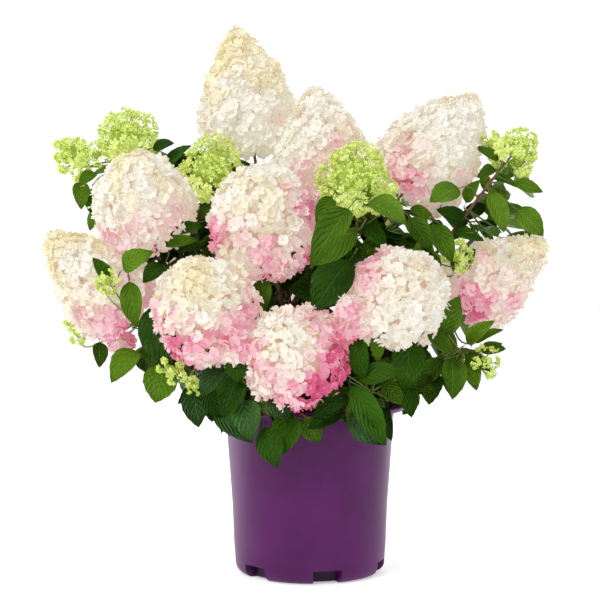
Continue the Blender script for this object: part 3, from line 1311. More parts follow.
class HYDRANGEA_OT_pot(bpy.types.Operator):
    """Turn the nursery pot and press the notches into its foot"""

    bl_idname = "hydrangea.pot"
    bl_label = "Pot"

    def execute(self, context):
        pot = context.scene.hydrangea_pot
        outer_foot = FOOT_RADIUS + (WAIST_RADIUS - FOOT_RADIUS) * 0.25
        wall = 0.002
        lip = rounded([
            (NECK_RADIUS - wall, POT_HEIGHT - 0.014), (NECK_RADIUS, POT_HEIGHT - 0.0015),
            (LIP_RADIUS - 0.0035, POT_HEIGHT), (LIP_RADIUS, POT_HEIGHT - 0.003),
            (LIP_RADIUS - 0.001, POT_HEIGHT - 0.009), (NECK_RADIUS + 0.002, POT_HEIGHT - 0.0095),
            (NECK_RADIUS, POT_HEIGHT - 0.016), (WAIST_RADIUS, WAIST_HEIGHT),
        ], 0.003)
        profile = [(0.0, 0.0215), (0.096, 0.0215), (outer_foot - wall, 0.024), (WAIST_RADIUS - wall, WAIST_HEIGHT)]
        profile += lip
        profile += [(WAIST_RADIUS - 0.0006 * step, WAIST_HEIGHT - 0.0145 * step) for step in range(1, 5)]
        profile += [(outer_foot, 0.030)]
        fall = (0.030 - FOOT_CORNER) / 10
        slim = (outer_foot - FOOT_RADIUS) / 10
        profile += [(outer_foot - slim * step, 0.030 - fall * step) for step in range(1, 10)]
        corner = FOOT_CORNER
        for step in range(9):
            angle = math.pi / 2 * step / 8
            profile.append((
                FOOT_RADIUS - corner + corner * math.cos(angle), corner * (1.0 - math.sin(angle)),
            ))
        profile += [(0.085, 0.0), (0.083, 0.002), (0.0, 0.002)]
        mesh = turned_mesh("pot_shell", profile, pot.sides)
        recess = mesh.attributes.new("shade", "FLOAT", "POINT")
        for vertex in mesh.vertices:
            radius = math.hypot(vertex.co.x, vertex.co.y)
            if radius < 0.090 or vertex.co.z > 0.03:
                continue
            angle = math.atan2(vertex.co.y, vertex.co.x) - pot.notch_first
            step = math.tau / max(1, pot.notches)
            off = abs((angle + step / 2) % step - step / 2) * FOOT_RADIUS
            side = min(1.0, max(0.0, (pot.notch_width / 2 + 0.0009 - off) / 0.0018))
            top = min(1.0, max(0.0, (pot.notch_height + 0.0009 - vertex.co.z) / 0.0018))
            press = (side * side * (3 - 2 * side)) * (top * top * (3 - 2 * top))
            if pot.notches and press > 0.0:
                recess.data[vertex.index].value = press
                inner = min(radius, FOOT_RADIUS - pot.notch_depth)
                target = radius + (inner - radius) * press
                vertex.co.x *= target / radius
                vertex.co.y *= target / radius
                vertex.co.z += (max(vertex.co.z, 0.0025) - vertex.co.z) * press
        piece = new_piece("pot_shell", mesh)
        mesh.materials.append(satin_plastic("satin_purple_plastic", tuple(pot.colour)))
        mesh.set_sharp_from_angle(angle=math.radians(50))
        ride_as(piece, ["pot"])
        return {"FINISHED"}


class HYDRANGEA_OT_potting_mix(bpy.types.Operator):
    """Fill the pot with bark mix and strew chips over it"""

    bl_idname = "hydrangea.potting_mix"
    bl_label = "Potting mix"

    def execute(self, context):
        pot = context.scene.hydrangea_pot
        edge = 0.1205
        profile = [(0.0, MIX_TOP)]
        profile += [(edge * step / 24, MIX_TOP - 0.004 * (step / 24) ** 2) for step in range(1, 25)]
        profile += [(0.1165, 0.15), (0.108, 0.06), (0.106, 0.030), (0.0, 0.030)]
        mesh = turned_mesh("potting_mix_bed", profile, 96)
        for vertex in mesh.vertices:
            if vertex.co.z > 0.2:
                lump = noise.noise(vertex.co * 90.0) * 0.0022 + noise.noise(vertex.co * 34.0) * 0.0022
                vertex.co.z += lump - 0.001
        bed = new_piece("potting_mix_bed", mesh)
        chips = []
        draw = random.Random(11)
        for kind in range(4):
            shape = bmesh.new()
            bmesh.ops.create_cube(shape, size=1.0)
            for vertex in shape.verts:
                vertex.co.x *= 0.0050 * draw.uniform(0.6, 1.2)
                vertex.co.y *= 0.0030 * draw.uniform(0.5, 1.3)
                vertex.co.z *= 0.0014 * draw.uniform(0.6, 1.3)
            chip = bpy.data.meshes.new(f"chip_{kind}")
            shape.to_mesh(chip)
            shape.free()
            chips.append(chip)
        box = shape_box("bark_chips", chips)
        finish = bark_mix("bark_potting_mix")
        tree = tree_named("strew_chips", chip_tree)
        top = mesh.copy()
        shape = bmesh.new()
        shape.from_mesh(top)
        low = [vertex for vertex in shape.verts if vertex.co.z < 0.2]
        bmesh.ops.delete(shape, geom=low, context="VERTS")
        shape.to_mesh(top)
        shape.free()
        strewn = new_piece("potting_mix_chips", top)
        values = {"Chips": box, "Density": pot.chips, "Seed": 3, "Material": finish}
        strewn = grown(strewn, tree, values)
        empty_box(box)
        mesh.materials.append(finish)
        ride_as(bed, ["potting_mix"])
        ride_as(strewn, ["potting_mix"])
        return {"FINISHED"}


class HYDRANGEA_OT_limbs(bpy.types.Operator):
    """Raise the trunk, boughs, leafy stems and head stalks"""

    bl_idname = "hydrangea.limbs"
    bl_label = "Trunk and boughs"

    def execute(self, context):
        sizes = context.scene.hydrangea_limbs
        bare, stems, origins = limb_paths()
        wood = []
        green = []
        for shoot in SHOOTS:
            radius = sizes.bough_radius if shoot.parent == "trunk" else sizes.bough_radius * 0.74
            points = smooth_path([origins[shoot.name]] + bare[shoot.name])
            wood.append((points, tapering(points, radius, sizes.stem_radius)))
            foot = Vector(shoot.foot)
            tip = Vector(shoot.tip)
            points = smooth_path(stems[shoot.name] + [foot.lerp(tip, 0.3), foot.lerp(tip, 0.8)])
            green.append((points, tapering(points, sizes.stem_radius, 0.0013)))
        for skirt in SKIRTS:
            points = smooth_path([origins[skirt.name]] + stems[skirt.name])
            green.append((points, tapering(points, sizes.stem_radius, 0.0016)))
        bark_finish = bark("grey_brown_bark")
        boughs = skinned("boughs", wood, 12, sizes.relief, 240.0, bark_finish)
        shoots = skinned("leafy_stems", green, 8, 0.0004, 300.0, young_stem("young_stem", 0.36, 0.52))
        radius = sizes.trunk_radius
        profile = [
            (0.0, FORK_HEIGHT + 0.009), (radius * 0.45, FORK_HEIGHT + 0.0085),
            (radius * 0.8, FORK_HEIGHT + 0.006), (radius, FORK_HEIGHT), (radius, FORK_HEIGHT - 0.006),
            (radius * 1.02, FORK_HEIGHT - 0.012), (radius * 1.1, MIX_TOP + 0.009),
            (radius * 1.28, MIX_TOP + 0.005), (radius * 1.5, MIX_TOP + 0.0025),
            (radius * 1.72, MIX_TOP + 0.0003), (0.0, MIX_TOP + 0.0003),
        ]
        mesh = turned_mesh("trunk_base", rounded(profile, 0.002, 3), 40)
        for vertex in mesh.vertices:
            if vertex.co.z > MIX_TOP + 0.001:
                angle = math.atan2(vertex.co.y, vertex.co.x)
                seat = Vector((math.cos(angle) * 2.2, math.sin(angle) * 2.2, vertex.co.z * 30.0))
                ridge = noise.noise(seat) * 0.0016 + noise.noise(seat * 3.0) * 0.0007
                vertex.co += Vector((math.cos(angle), math.sin(angle), 0.0)) * ridge
        trunk = new_piece("trunk_base", mesh)
        mesh.materials.append(bark_finish)
        ride_as(trunk, ["trunk"])
        ride_as(boughs, ["bough_" + shoot.name for shoot in SHOOTS])
        owners = [shoot.name for shoot in SHOOTS] + [skirt.name for skirt in SKIRTS]
        ride_as(shoots, ["foliage_" + owner for owner in owners])
        return {"FINISHED"}


def blade_points(base, heading, across, length, wide):
    """Points over a leaf's blade that show whether it has room."""
    points = [base + heading * length]
    for share, breadth in ((0.30, 0.8), (0.55, 1.0), (0.80, 0.5)):
        middle = base + heading * length * share
        edge = across * length * wide / 2 * breadth
        points += [middle, middle - edge, middle + edge]
    return points


def crosses_placed(point):
    """Whether a point is close to a leaf that has a place of its own, or hides it from the front."""
    for base, along, length, half in PLACED_AXES:
        share = max(0.0, min(1.0, (point - base).dot(along) / length))
        off = point - base - along * share * length
        if off.length < 0.010:
            return True
        if off.y < 0.0 and math.hypot(off.x, off.z) < half:
            return True
    return False


def in_an_opening(point):
    """Whether a point closes an opening or hides the shown cane, seen from the front."""
    if any(math.hypot(point.x - x, point.z - z) < radius for x, z, radius in OPENINGS):
        return True
    low, high = (Vector(end) for end in SHOWN_CANE)
    share = (point - low).dot(high - low) / (high - low).length_squared
    near = low.lerp(high, max(0.0, min(1.0, share)))
    return point.y < near.y and math.hypot(point.x - near.x, point.z - near.z) < 0.007


PLACED_AXES = [
    (Vector(leaf.base), (Vector(leaf.tip) - Vector(leaf.base)).normalized(),
     (Vector(leaf.tip) - Vector(leaf.base)).length,
     (Vector(leaf.tip) - Vector(leaf.base)).length * leaf.width * 0.42)
    for leaf in PLACED
]


def has_room(points):
    """Whether a leaf over these points keeps clear of heads, pot and placed leaves, inside the crown."""
    return not any(
        outside_crown(point) or in_the_pot(point) or in_a_head(point, 0.001)
        or before_a_head(point) or crosses_placed(point) or in_an_opening(point)
        for point in points
    )


def tints_at(point):
    """The three greens of a place in the crown, the most frequent first."""
    if point.z < 0.34 and point.x < 0.05:
        return "leaves_glaucous", "leaves_deep", "leaves_mid"
    if point.z > 0.46 and point.x > 0.0:
        return "leaves_fresh", "leaves_mid", "leaves_deep"
    if point.x > 0.10:
        return "leaves_mid", "leaves_fresh", "leaves_deep"
    return "leaves_deep", "leaves_mid", "leaves_fresh"


def grow_sprays(leaf):
    """Leaf spots by tint and twig paths with their owners, by the source's rule carried to closer whorls."""
    _, stems, _ = limb_paths()
    rolls = {shoot.name: math.radians(shoot.roll) for shoot in SHOOTS}
    tinted = {green[0]: [] for green in GREENS}
    owners = {green[0]: set() for green in GREENS}
    twigs = []

    def bear_leaf(owner, base, along, length, tint, draw):
        for attempt in range(8):
            tilt = Vector((draw.uniform(-1, 1), draw.uniform(-1, 1), draw.uniform(-1, 1)))
            heading = (along + tilt * 0.16 * attempt).normalized()
            lean = UP + out_from_axis(base) * 0.8 + tilt * 0.7
            across = heading.cross(lean).normalized()
            hung = (heading - UP * 0.10).normalized()
            if not has_room(blade_points(base, hung, across, length, leaf.width)):
                continue
            normal = across.cross(heading).normalized()
            kind = draw.randrange(len(LEAF_FORMS))
            wide = draw.uniform(0.86, 1.16)
            tinted[tint].append(spot_on(base, across, heading, normal, length, kind, draw.random(), wide))
            owners[tint].add(owner)
            return

    for owner, points in stems.items():
        draw = random.Random(f"{owner} {leaf.seed}")
        distance = path_length(points) - 0.012
        turn = rolls.get(owner, 0.8)
        count = 0
        while distance > 0.008:
            base, direction = point_on(points, distance)
            pick = draw.random()
            weights = tints_at(base)
            tint = weights[0] if pick < 0.5 else weights[1] if pick < 0.82 else weights[2]
            for side in range(WHORL):
                out = leaf_heading(direction, turn + math.tau * side / WHORL, LEAF_PITCH, droop_at(base))
                bear_leaf(owner, base, out, leaf.length * draw.uniform(0.75, 1.25), tint, draw)
            if count % 2 or count > 2:
                out = leaf_heading(direction, turn + math.pi / WHORL + math.pi * (count % 2), TWIG_PITCH, 0.1)
                reach = leaf.twig_length * draw.uniform(0.8, 1.2)
                end = base + out * reach
                if not in_a_head(end, 0.004) and not in_the_pot(end) and not outside_crown(end):
                    tip_droop = end - UP * reach * 0.06
                    twigs.append((smooth_path([base, base.lerp(end, 0.5), tip_droop]), owner))
                    spin = draw.uniform(0.0, math.pi)
                    for back, scale in ((0.55, 0.8), (0.30, 0.9), (0.08, 0.9)):
                        spin += math.pi / 2
                        for side in (0.0, math.pi):
                            way = leaf_heading(out, spin + side, PAIR_PITCH, 0.15)
                            size = leaf.length * scale * draw.uniform(0.75, 1.1)
                            bear_leaf(owner, end - out * reach * back, way, size, tint, draw)
                    last = (out - UP * 0.2).normalized()
                    bear_leaf(owner, end - out * 0.004, last, leaf.length * draw.uniform(0.9, 1.1), tint, draw)
            turn += math.pi / WHORL
            distance -= leaf.spacing * draw.uniform(0.9, 1.1)
            count += 1
    return tinted, owners, twigs


def nearest_stem(stems, point):
    """The name of the stem that passes nearest to a point, and the place on it."""
    best = None
    for name, points in stems.items():
        total = path_length(points)
        for step in range(1, 30):
            place = point_on(points, total * step / 30)[0]
            gap = (place - point).length
            if best is None or gap < best[0]:
                best = (gap, name, place)
    return best[1], best[2]


def place_leaves(leaf, tinted, owners, twigs):
    """Adds the leaves that have a place of their own, each on a curved stalk from the nearest stem."""
    bare, stems, _ = limb_paths()
    limbs = {name: bare.get(name, []) + stems[name] for name in stems}
    draw = random.Random(leaf.seed)
    for placed in PLACED:
        base = Vector(placed.base)
        chord = Vector(placed.tip) - base
        kind = draw.randrange(len(LEAF_FORMS))
        droop = LEAF_FORMS[kind].droop
        run = 1.0 - droop * 0.35
        length = chord.length / math.hypot(run, droop)
        along = chord.normalized()
        lean = Vector((0.0, -1.0, 0.55)) + Vector((draw.uniform(-0.3, 0.3), 0.0, draw.uniform(-0.2, 0.2)))
        across = along.cross(lean).normalized()
        turned = Matrix.Rotation(math.radians(placed.roll), 3, along)
        across = turned @ across
        rise = Matrix.Rotation(math.atan2(droop, run), 3, across)
        heading = rise @ along
        normal = across.cross(heading).normalized()
        wide = placed.width / leaf.width
        owner, root = nearest_stem(limbs, base)
        tint = "leaves_" + placed.tint
        tinted[tint].append(spot_on(base, across, heading, normal, length, kind, draw.random(), wide))
        owners[tint].add(owner)
        middle = root.lerp(base, 0.55) + (base - along * (base - root).length * 0.4 - root.lerp(base, 0.55)) * 0.4
        twigs.append((smooth_path([root, middle, base]), owner))


class HYDRANGEA_OT_leaves(bpy.types.Operator):
    """Grow the leaves and side twigs of every shoot"""

    bl_idname = "hydrangea.leaves"
    bl_label = "Leaves and twigs"

    def execute(self, context):
        leaf = context.scene.hydrangea_leaves
        thick = context.scene.hydrangea_limbs.twig_radius
        tinted, owners, twigs = grow_sprays(leaf)
        place_leaves(leaf, tinted, owners, twigs)
        meshes = [leaf_mesh(f"leaf_{index}", form, leaf.width) for index, form in enumerate(LEAF_FORMS)]
        box = shape_box("leaf_shapes", meshes)
        for name, deep, light, sheen in GREENS:
            finish = leaf_finish(name + "_finish", deep, light, sheen)
            piece = dealt(name, tinted[name], box, finish)
            ride_as(piece, sorted("foliage_" + owner for owner in owners[name]))
        empty_box(box)
        limbs = [(points, tapering(points, thick, thick * 0.6)) for points, _ in twigs]
        piece = skinned("side_twigs", limbs, 6, 0.0002, 300.0, young_stem("green_twig", 0.50, 0.70))
        ride_as(piece, sorted({"foliage_" + owner for _, owner in twigs}))
        return {"FINISHED"}


def head_spots(space, count, layers, draw, lump=0.11):
    """Even places over a head's surface with their outward directions and their share of its length."""
    foot, tip, width = space
    axis = tip - foot
    length = axis.length
    axis = axis / length
    place = frame_along(axis, foot)
    steps = 60
    table = [0.0]
    for step in range(steps):
        near = blossom_radius(step / steps, length, width)
        far = blossom_radius((step + 1) / steps, length, width)
        table.append(table[-1] + (near + far) / 2 * math.hypot(far - near, length / steps) + 1e-7)
    rough = draw.uniform(0.0, 50.0)
    spots = []
    for depth, part in layers:
        number = round(count * part)
        for index in range(number):
            area = (index + draw.uniform(0.1, 0.9)) / number * table[-1]
            step = next(i for i in range(steps) if table[i + 1] >= area)
            share = (step + (area - table[step]) / (table[step + 1] - table[step])) / steps
            turn = index * GOLDEN_ANGLE + draw.uniform(-0.3, 0.3)
            radius = blossom_radius(share, length, width)
            ahead = blossom_radius(min(1.0, share + 0.02), length, width)
            behind = blossom_radius(max(0.0, share - 0.02), length, width)
            slope = math.atan2((behind - ahead), 0.04 * length)
            if share < 0.03:
                slope = -0.5
            way = Vector((math.cos(turn) * math.cos(slope), math.sin(turn) * math.cos(slope), math.sin(slope)))
            seat = Vector((math.cos(turn) * 2, math.sin(turn) * 2, share * 5 + rough))
            swell = 1.0 + lump * noise.noise(seat) + lump * 0.6 * noise.noise(seat * 2.3)
            ring = radius * swell * depth
            rise = (0.5 + (share - 0.5) * (1 - (1 - depth) * 0.8)) * length
            at = place @ Vector((math.cos(turn) * ring, math.sin(turn) * ring, rise))
            spots.append((at, (place.to_3x3() @ way).normalized(), share, depth))
    return spots


def heart_of(space, sides=18, rows=12, depth=0.74):
    """Points, faces and spots of a head's closed inner surface, which shows between its florets."""
    foot, tip, width = space
    length = (tip - foot).length
    place = frame_along((tip - foot).normalized(), foot)
    points = []
    for row in range(rows + 1):
        share = row / rows
        radius = blossom_radius(share, length, width) * depth if 0 < row < rows else 0.0
        rise = (0.5 + (share - 0.5) * depth) * length
        for side in range(sides if radius else 1):
            turn = math.tau * (side + row % 2 / 2) / sides
            ripple = radius * (1.0 + 0.05 * math.sin(side * 2.7 + row * 1.9))
            points.append(place @ Vector((math.cos(turn) * ripple, math.sin(turn) * ripple, rise)))
    last = len(points) - 1
    faces = []
    for side in range(sides):
        after = (side + 1) % sides
        faces.append([0, 1 + after, 1 + side])
        for row in range(rows - 2):
            low = 1 + row * sides
            faces.append([low + side, low + after, low + sides + after, low + sides + side])
        low = last - sides
        faces.append([low + side, low + after, last])
    return points, faces


def facing_spot(at, outward, size, kind, shade, draw, wild=0.35):
    """A spot that faces outward, tipped and turned at random."""
    tip = Vector((draw.uniform(-1, 1), draw.uniform(-1, 1), draw.uniform(-1, 1))) * wild
    normal = (outward + tip).normalized()
    side = normal.orthogonal().normalized()
    along = normal.cross(side)
    angle = draw.uniform(0.0, math.tau)
    across = side * math.cos(angle) + along * math.sin(angle)
    return spot_on(at, across, normal.cross(across), normal, size, kind, shade)


def flush_at(point, outward):
    """How much pinker a place on a head is for the patches that it lies in."""
    if outward.y > 0.3 or point.y > 0.10:
        return 0.0
    return sum(
        flush.amount * math.exp(-((point.x - flush.x) ** 2 + (point.z - flush.z) ** 2) / (2 * flush.reach ** 2))
        for flush in FLUSHES
        if abs(point.x - flush.x) < 0.06 and abs(point.z - flush.z) < 0.06
    )


def tint_of(pink, warm, depth, draw):
    """The name of a floret's tint and how far it is on the way to the next, from how pink and yellow its place is."""
    if warm > 0.45 and pink < 0.40:
        return APEX_TINT[0], min(1.0, (warm - 0.45) / 0.5)
    if depth < 0.9 and draw.random() < 0.14 and pink < 0.5:
        return SHADE_TINT[0], draw.random()
    rank = max(0.0, min(len(TINTS) - 0.01, pink * 0.86 * len(TINTS)))
    return TINTS[int(rank)][0], rank % 1.0


class HYDRANGEA_OT_flower_heads(bpy.types.Operator):
    """Cover each large panicle with florets from cream to rose"""

    bl_idname = "hydrangea.flower_heads"
    bl_label = "Flower heads"

    def execute(self, context):
        sizes = context.scene.hydrangea_heads
        names = [name for name, _ in TINTS] + [APEX_TINT[0], SHADE_TINT[0]]
        colours = [colour for _, colour in TINTS + (APEX_TINT, SHADE_TINT)]
        further = colours[1:len(TINTS)] + [DARKEST_ROSE, APEX_DEEP, SHADE_DEEP]
        tinted = {name: [] for name in names}
        owners = {name: set() for name in names}
        heart_points = []
        heart_faces = []
        grown_heads = [
            (shoot.name, (Vector(shoot.foot), Vector(shoot.tip), shoot.width), BLOOMS[shoot.name])
            for shoot in SHOOTS if shoot.name not in YOUNG
        ]
        grown_heads += [
            (clump.head, (Vector(clump.foot), Vector(clump.tip), clump.width), Bloom(clump.pink * 0.6, 0.2, (0, 0, -1), 0.1, 0))
            for clump in CLUMPS
        ]
        layers = ((0.965, 0.46), (0.905, 0.32), (0.84, 0.22))
        for index, (owner, space, bloom) in enumerate(grown_heads):
            draw = random.Random(400 + index)
            side = Vector(bloom.side).normalized()
            foot, tip, width = space
            count = round(sizes.florets * width * (tip - foot).length / 0.0222)
            for at, outward, share, depth in head_spots(space, count, layers, draw):
                coarse = noise.noise(at * 24.0 + Vector((index, 0, 0)))
                fine = noise.noise(at * 70.0 + Vector((0, index, 0)))
                pink = bloom.pink + bloom.rim * max(0.0, 0.62 - share) / 0.62 + bloom.lean * outward.dot(side)
                pink += flush_at(at, outward) + coarse * 0.34 + fine * 0.26
                pink += draw.uniform(-1.0, 0.8) * (0.04 + 0.34 * max(0.0, min(1.0, pink)))
                warm = bloom.apex * (share - 0.2) * 1.5 + coarse * 0.7 + draw.uniform(-0.1, 0.1)
                name, tone = tint_of(pink, warm, depth, draw)
                size = sizes.floret_radius * draw.uniform(0.78, 1.16) * (1.06 - 0.30 * max(0.0, share - 0.5) - 0.22 * min(1.0, max(0.0, pink)))
                spot = facing_spot(at, outward + UP * 0.15, size, draw.randrange(6), tone, draw, 0.60)
                tinted[name].append(spot)
                owners[name].add("head_" + owner)
            points, faces = heart_of(space)
            start = len(heart_points)
            heart_points += points
            heart_faces += [[start + corner for corner in face] for face in faces]
        forms = ((0.10, 1.00), (0.32, 0.92), (-0.10, 1.05), (0.50, 0.96), (0.20, 1.08), (0.40, 1.0))
        meshes = [floret_mesh(f"floret_{i}", cup, breadth, 60 + i) for i, (cup, breadth) in enumerate(forms)]
        box = shape_box("floret_shapes", meshes)
        for name, near, far in zip(names, colours, further):
            finish = petal_finish(name + "_finish", near, far, srgb(240, 236, 210))
            piece = dealt(name, tinted[name], box, finish)
            ride_as(piece, sorted(owners[name]))
        empty_box(box)
        mesh = sheet_mesh("petals_heart", heart_points, heart_faces, [(0.5, 0.5)] * len(heart_points))
        mesh.materials.append(heart_finish("petals_heart_finish", *HEART_TINTS))
        ride_as(new_piece("petals_heart", mesh), sorted({"head_" + owner for owner, _, _ in grown_heads}))
        return {"FINISHED"}


def young_spaces():
    """Owner and space of each young head and unopened head."""
    young = [shoot for shoot in SHOOTS if shoot.name in YOUNG]
    spaces = [(shoot.name, (Vector(shoot.foot), Vector(shoot.tip), shoot.width)) for shoot in young]
    return spaces + [(sprig.shoot, (Vector(sprig.foot), Vector(sprig.tip), sprig.width)) for sprig in SPRIGS]


def young_spots(space, count, draw):
    """Places on the small round side clusters that crowd a young head, as head_spots gives them."""
    foot, tip, width = space
    clusters = max(9, round(32 * width * (tip - foot).length / 0.0084))
    spots = []
    for middle, outward, share, _ in head_spots(space, clusters, ((0.72, 1.0),), draw, 0.30):
        ball = width * (0.155 if width > 0.05 else 0.18) * draw.uniform(0.75, 1.30)
        for _ in range(round(count / clusters)):
            way = Vector((draw.gauss(0, 1), draw.gauss(0, 1), draw.gauss(0, 1))).normalized()
            if way.dot(outward) < -0.15:
                way = -way
            way = (way + outward * 0.25).normalized()
            depth = 1.0 - 0.3 * draw.random() ** 2
            spots.append((middle + way * ball * depth, way, share, depth))
    return spots


class HYDRANGEA_OT_young_heads(bpy.types.Operator):
    """Set the lime green young heads and the small unopened ones"""

    bl_idname = "hydrangea.young_heads"
    bl_label = "Young heads"

    def execute(self, context):
        sizes = context.scene.hydrangea_heads
        _, stems, _ = limb_paths()
        buds = []
        sepals = []
        stalks = []
        heart_points = []
        heart_faces = []
        spaces = young_spaces()
        owners = sorted({"foliage_" + owner for owner, _ in spaces})
        for index, (owner, space) in enumerate(spaces):
            draw = random.Random(700 + index)
            foot, tip, width = space
            count = round(sizes.buds * width * (tip - foot).length / 0.0084)
            for at, outward, share, depth in young_spots(space, count, draw):
                tone = min(1.0, max(0.0, 0.45 + 0.35 * outward.z + draw.uniform(-0.3, 0.3)))
                if draw.random() < 0.50 + 0.50 * share:
                    size = sizes.bud_radius * draw.uniform(0.55, 1.05)
                    buds.append(facing_spot(at, outward, size, 0, tone, draw))
                if draw.random() < 0.80 - 0.62 * share:
                    skirt = max(0.0, 1.0 - share / 0.36) if width > 0.05 else 0.0
                    size = sizes.bud_radius * draw.uniform(1.2, 2.0) + 0.008 * skirt * draw.uniform(0.4, 1.0)
                    lift = at + outward * 0.001
                    pale = min(1.0, tone + 0.5 * skirt)
                    sepals.append(facing_spot(lift, outward, size, draw.randrange(3), pale, draw, 0.5))
                if depth < 0.8 and draw.random() < 0.20:
                    root = foot.lerp(tip, share * 0.6)
                    stalks.append(([root, at], [0.0010, 0.0006]))
            points, faces = heart_of(space, 12, 8, 0.62 if space[2] > 0.05 else 0.40)
            start = len(heart_points)
            heart_points += points
            heart_faces += [[start + corner for corner in face] for face in faces]
            if index >= len(YOUNG):
                points = stems[owner]
                total = path_length(points)
                places = [point_on(points, total * step / 20)[0] for step in range(2, 20)]
                base = min(places, key=lambda place: (place - foot).length)
                path = smooth_path([base, base.lerp(foot, 0.5) - UP * 0.004, foot, foot.lerp(tip, 0.5)])
                stalks.append((path, tapering(path, 0.0017, 0.0010)))
        bud_box = shape_box("bud_shapes", [bud_mesh("bud")])
        finish = bud_finish("lime_buds_finish", srgb(168, 190, 66), srgb(220, 232, 124))
        piece = dealt("lime_buds", buds, bud_box, finish)
        ride_as(piece, owners)
        empty_box(bud_box)
        box = shape_box("sepal_shapes", [sprout_mesh(f"sprout_{i}", 0.2 + 0.25 * i, 90 + i) for i in range(3)])
        finish = bud_finish("lime_sepals_finish", srgb(188, 206, 92), srgb(230, 240, 158))
        piece = dealt("lime_sepals", sepals, box, finish)
        ride_as(piece, owners)
        empty_box(box)
        mesh = sheet_mesh("lime_hearts", heart_points, heart_faces, [(0.5, 0.5)] * len(heart_points))
        mesh.materials.append(bud_finish("lime_hearts_finish", srgb(160, 182, 72), srgb(196, 214, 104)))
        ride_as(new_piece("lime_hearts", mesh), owners)
        piece = skinned("bud_stalks", stalks, 4, 0.0, 300.0, bud_finish("lime_stalks", srgb(132, 150, 60), srgb(170, 184, 90)))
        ride_as(piece, owners)
        return {"FINISHED"}


def soft_light(name, place, aim, width, energy, tint=(1.0, 1.0, 1.0)):
    """A large soft light that faces its aim."""
    lamp = bpy.data.lights.new(name, "AREA")
    lamp.shape = "SQUARE"
    lamp.size = width
    lamp.energy = energy
    lamp.color = tint
    stand = bpy.data.objects.new(name, lamp)
    stand.location = place
    stand.rotation_euler = (Vector(aim) - Vector(place)).to_track_quat("-Z", "Y").to_euler()
    bpy.context.scene.collection.objects.link(stand)


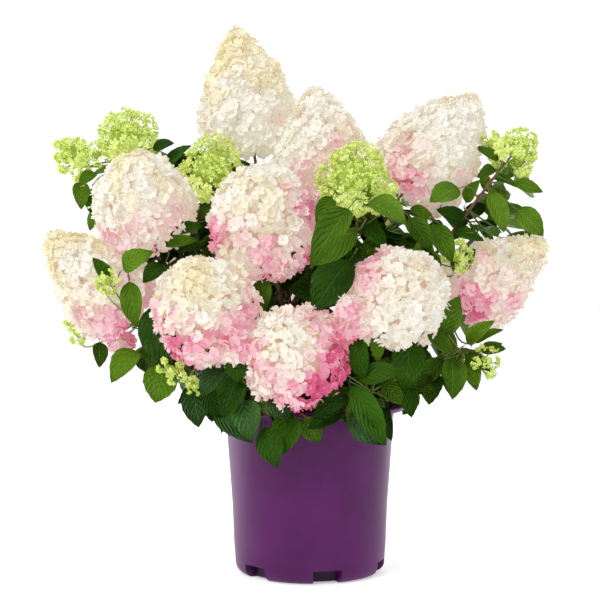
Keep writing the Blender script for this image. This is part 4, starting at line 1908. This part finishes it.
class HYDRANGEA_OT_stage(bpy.types.Operator):
    """Lay the floor and set up the soft lights and the camera"""

    bl_idname = "hydrangea.stage"
    bl_label = "Floor, lights and camera"

    def execute(self, context):
        stage = context.scene.hydrangea_stage
        scene = context.scene
        scene.view_settings.view_transform = "Standard"
        shape = bmesh.new()
        bmesh.ops.create_grid(shape, x_segments=4, y_segments=4, size=30.0)
        mesh = bpy.data.meshes.new("floor")
        shape.to_mesh(mesh)
        shape.free()
        floor = new_piece("floor", mesh)
        finish, board, shader = finish_named("pale_floor")
        base = board.blend(board.noise(3.0), tuple(stage.floor_colour), (0.93, 0.93, 0.93))
        feed(board, shader, base, 0.9)
        shader.inputs["Specular IOR Level"].default_value = 0.1
        shader.inputs["Emission Color"].default_value = (1.0, 1.0, 1.0, 1.0)
        shader.inputs["Emission Strength"].default_value = stage.floor_glow
        mesh.materials.append(finish)

        world = bpy.data.worlds.new("studio")
        world.use_nodes = True
        sky = Board(world.node_tree)
        glow = world.node_tree.nodes["Background"]
        seen = sky.node("ShaderNodeLightPath", {}, {}, out="Is Camera Ray")
        toward = sky.axes(sky.node("ShaderNodeTexCoord", {}, {}, out="Generated"))[1]
        power = toward.between(-0.9, 0.2, 0.20, 0.80)
        power = power + seen * (1.1 - power)
        world.node_tree.links.new(power.socket, glow.inputs["Strength"])
        glow.inputs["Color"].default_value = (1.0, 1.0, 1.0, 1.0)
        scene.world = world

        soft_light("key", (-1.5, -2.0, 2.4), (0.0, 0.0, 0.40), 1.2, 49.5)
        soft_light("left rim", (-1.5, 0.8, 0.30), (0.0, 0.0, 0.15), 0.9, 11.0)
        soft_light("right rim", (1.0, 1.8, 0.30), (0.0, 0.0, 0.15), 0.9, 12.0)
        soft_light("fill", (2.0, -1.3, 2.5), (0.0, 0.0, 0.60), 2.0, 13.0)
        soft_light("back", (0.6, 2.6, 2.4), (0.0, 0.0, 0.45), 2.0, 22.0)

        lens = bpy.data.cameras.new("camera")
        lens.lens = stage.lens
        lens.sensor_width = 36.0
        camera = bpy.data.objects.new("camera", lens)
        camera.location = (-0.0148, -stage.distance, 0.430)
        aim = Vector((-0.0148, 0.0, 0.4045))
        camera.rotation_euler = (aim - camera.location).to_track_quat("-Z", "Y").to_euler()
        scene.collection.objects.link(camera)
        scene.camera = camera
        return {"FINISHED"}


class HYDRANGEA_PT_panel(bpy.types.Panel):
    """Lists the plant's pieces and the stage"""

    bl_idname = "HYDRANGEA_PT_panel"
    bl_label = "Potted hydrangea"
    bl_space_type = "VIEW_3D"
    bl_region_type = "UI"
    bl_category = "Hydrangea"

    def draw(self, context):
        for operator in OPERATORS:
            self.layout.operator(operator.bl_idname)


OPERATORS = (
    HYDRANGEA_OT_pot, HYDRANGEA_OT_potting_mix, HYDRANGEA_OT_limbs, HYDRANGEA_OT_leaves,
    HYDRANGEA_OT_flower_heads, HYDRANGEA_OT_young_heads, HYDRANGEA_OT_stage,
)
SETTINGS = (
    ("hydrangea_pot", PotSettings), ("hydrangea_limbs", LimbSettings), ("hydrangea_leaves", LeafSettings),
    ("hydrangea_heads", HeadSettings), ("hydrangea_stage", StageSettings),
)


def register():
    for name, group in SETTINGS:
        bpy.utils.register_class(group)
        setattr(bpy.types.Scene, name, bpy.props.PointerProperty(type=group))
    for operator in OPERATORS:
        bpy.utils.register_class(operator)
    bpy.utils.register_class(HYDRANGEA_PT_panel)


def unregister():
    bpy.utils.unregister_class(HYDRANGEA_PT_panel)
    for operator in reversed(OPERATORS):
        bpy.utils.unregister_class(operator)
    for name, group in reversed(SETTINGS):
        delattr(bpy.types.Scene, name)
        bpy.utils.unregister_class(group)


def main():
    register()
    bpy.ops.hydrangea.pot()
    bpy.ops.hydrangea.potting_mix()
    bpy.ops.hydrangea.limbs()
    bpy.ops.hydrangea.leaves()
    bpy.ops.hydrangea.flower_heads()
    bpy.ops.hydrangea.young_heads()
    bpy.ops.hydrangea.stage()


if __name__ == "__main__":
    main()
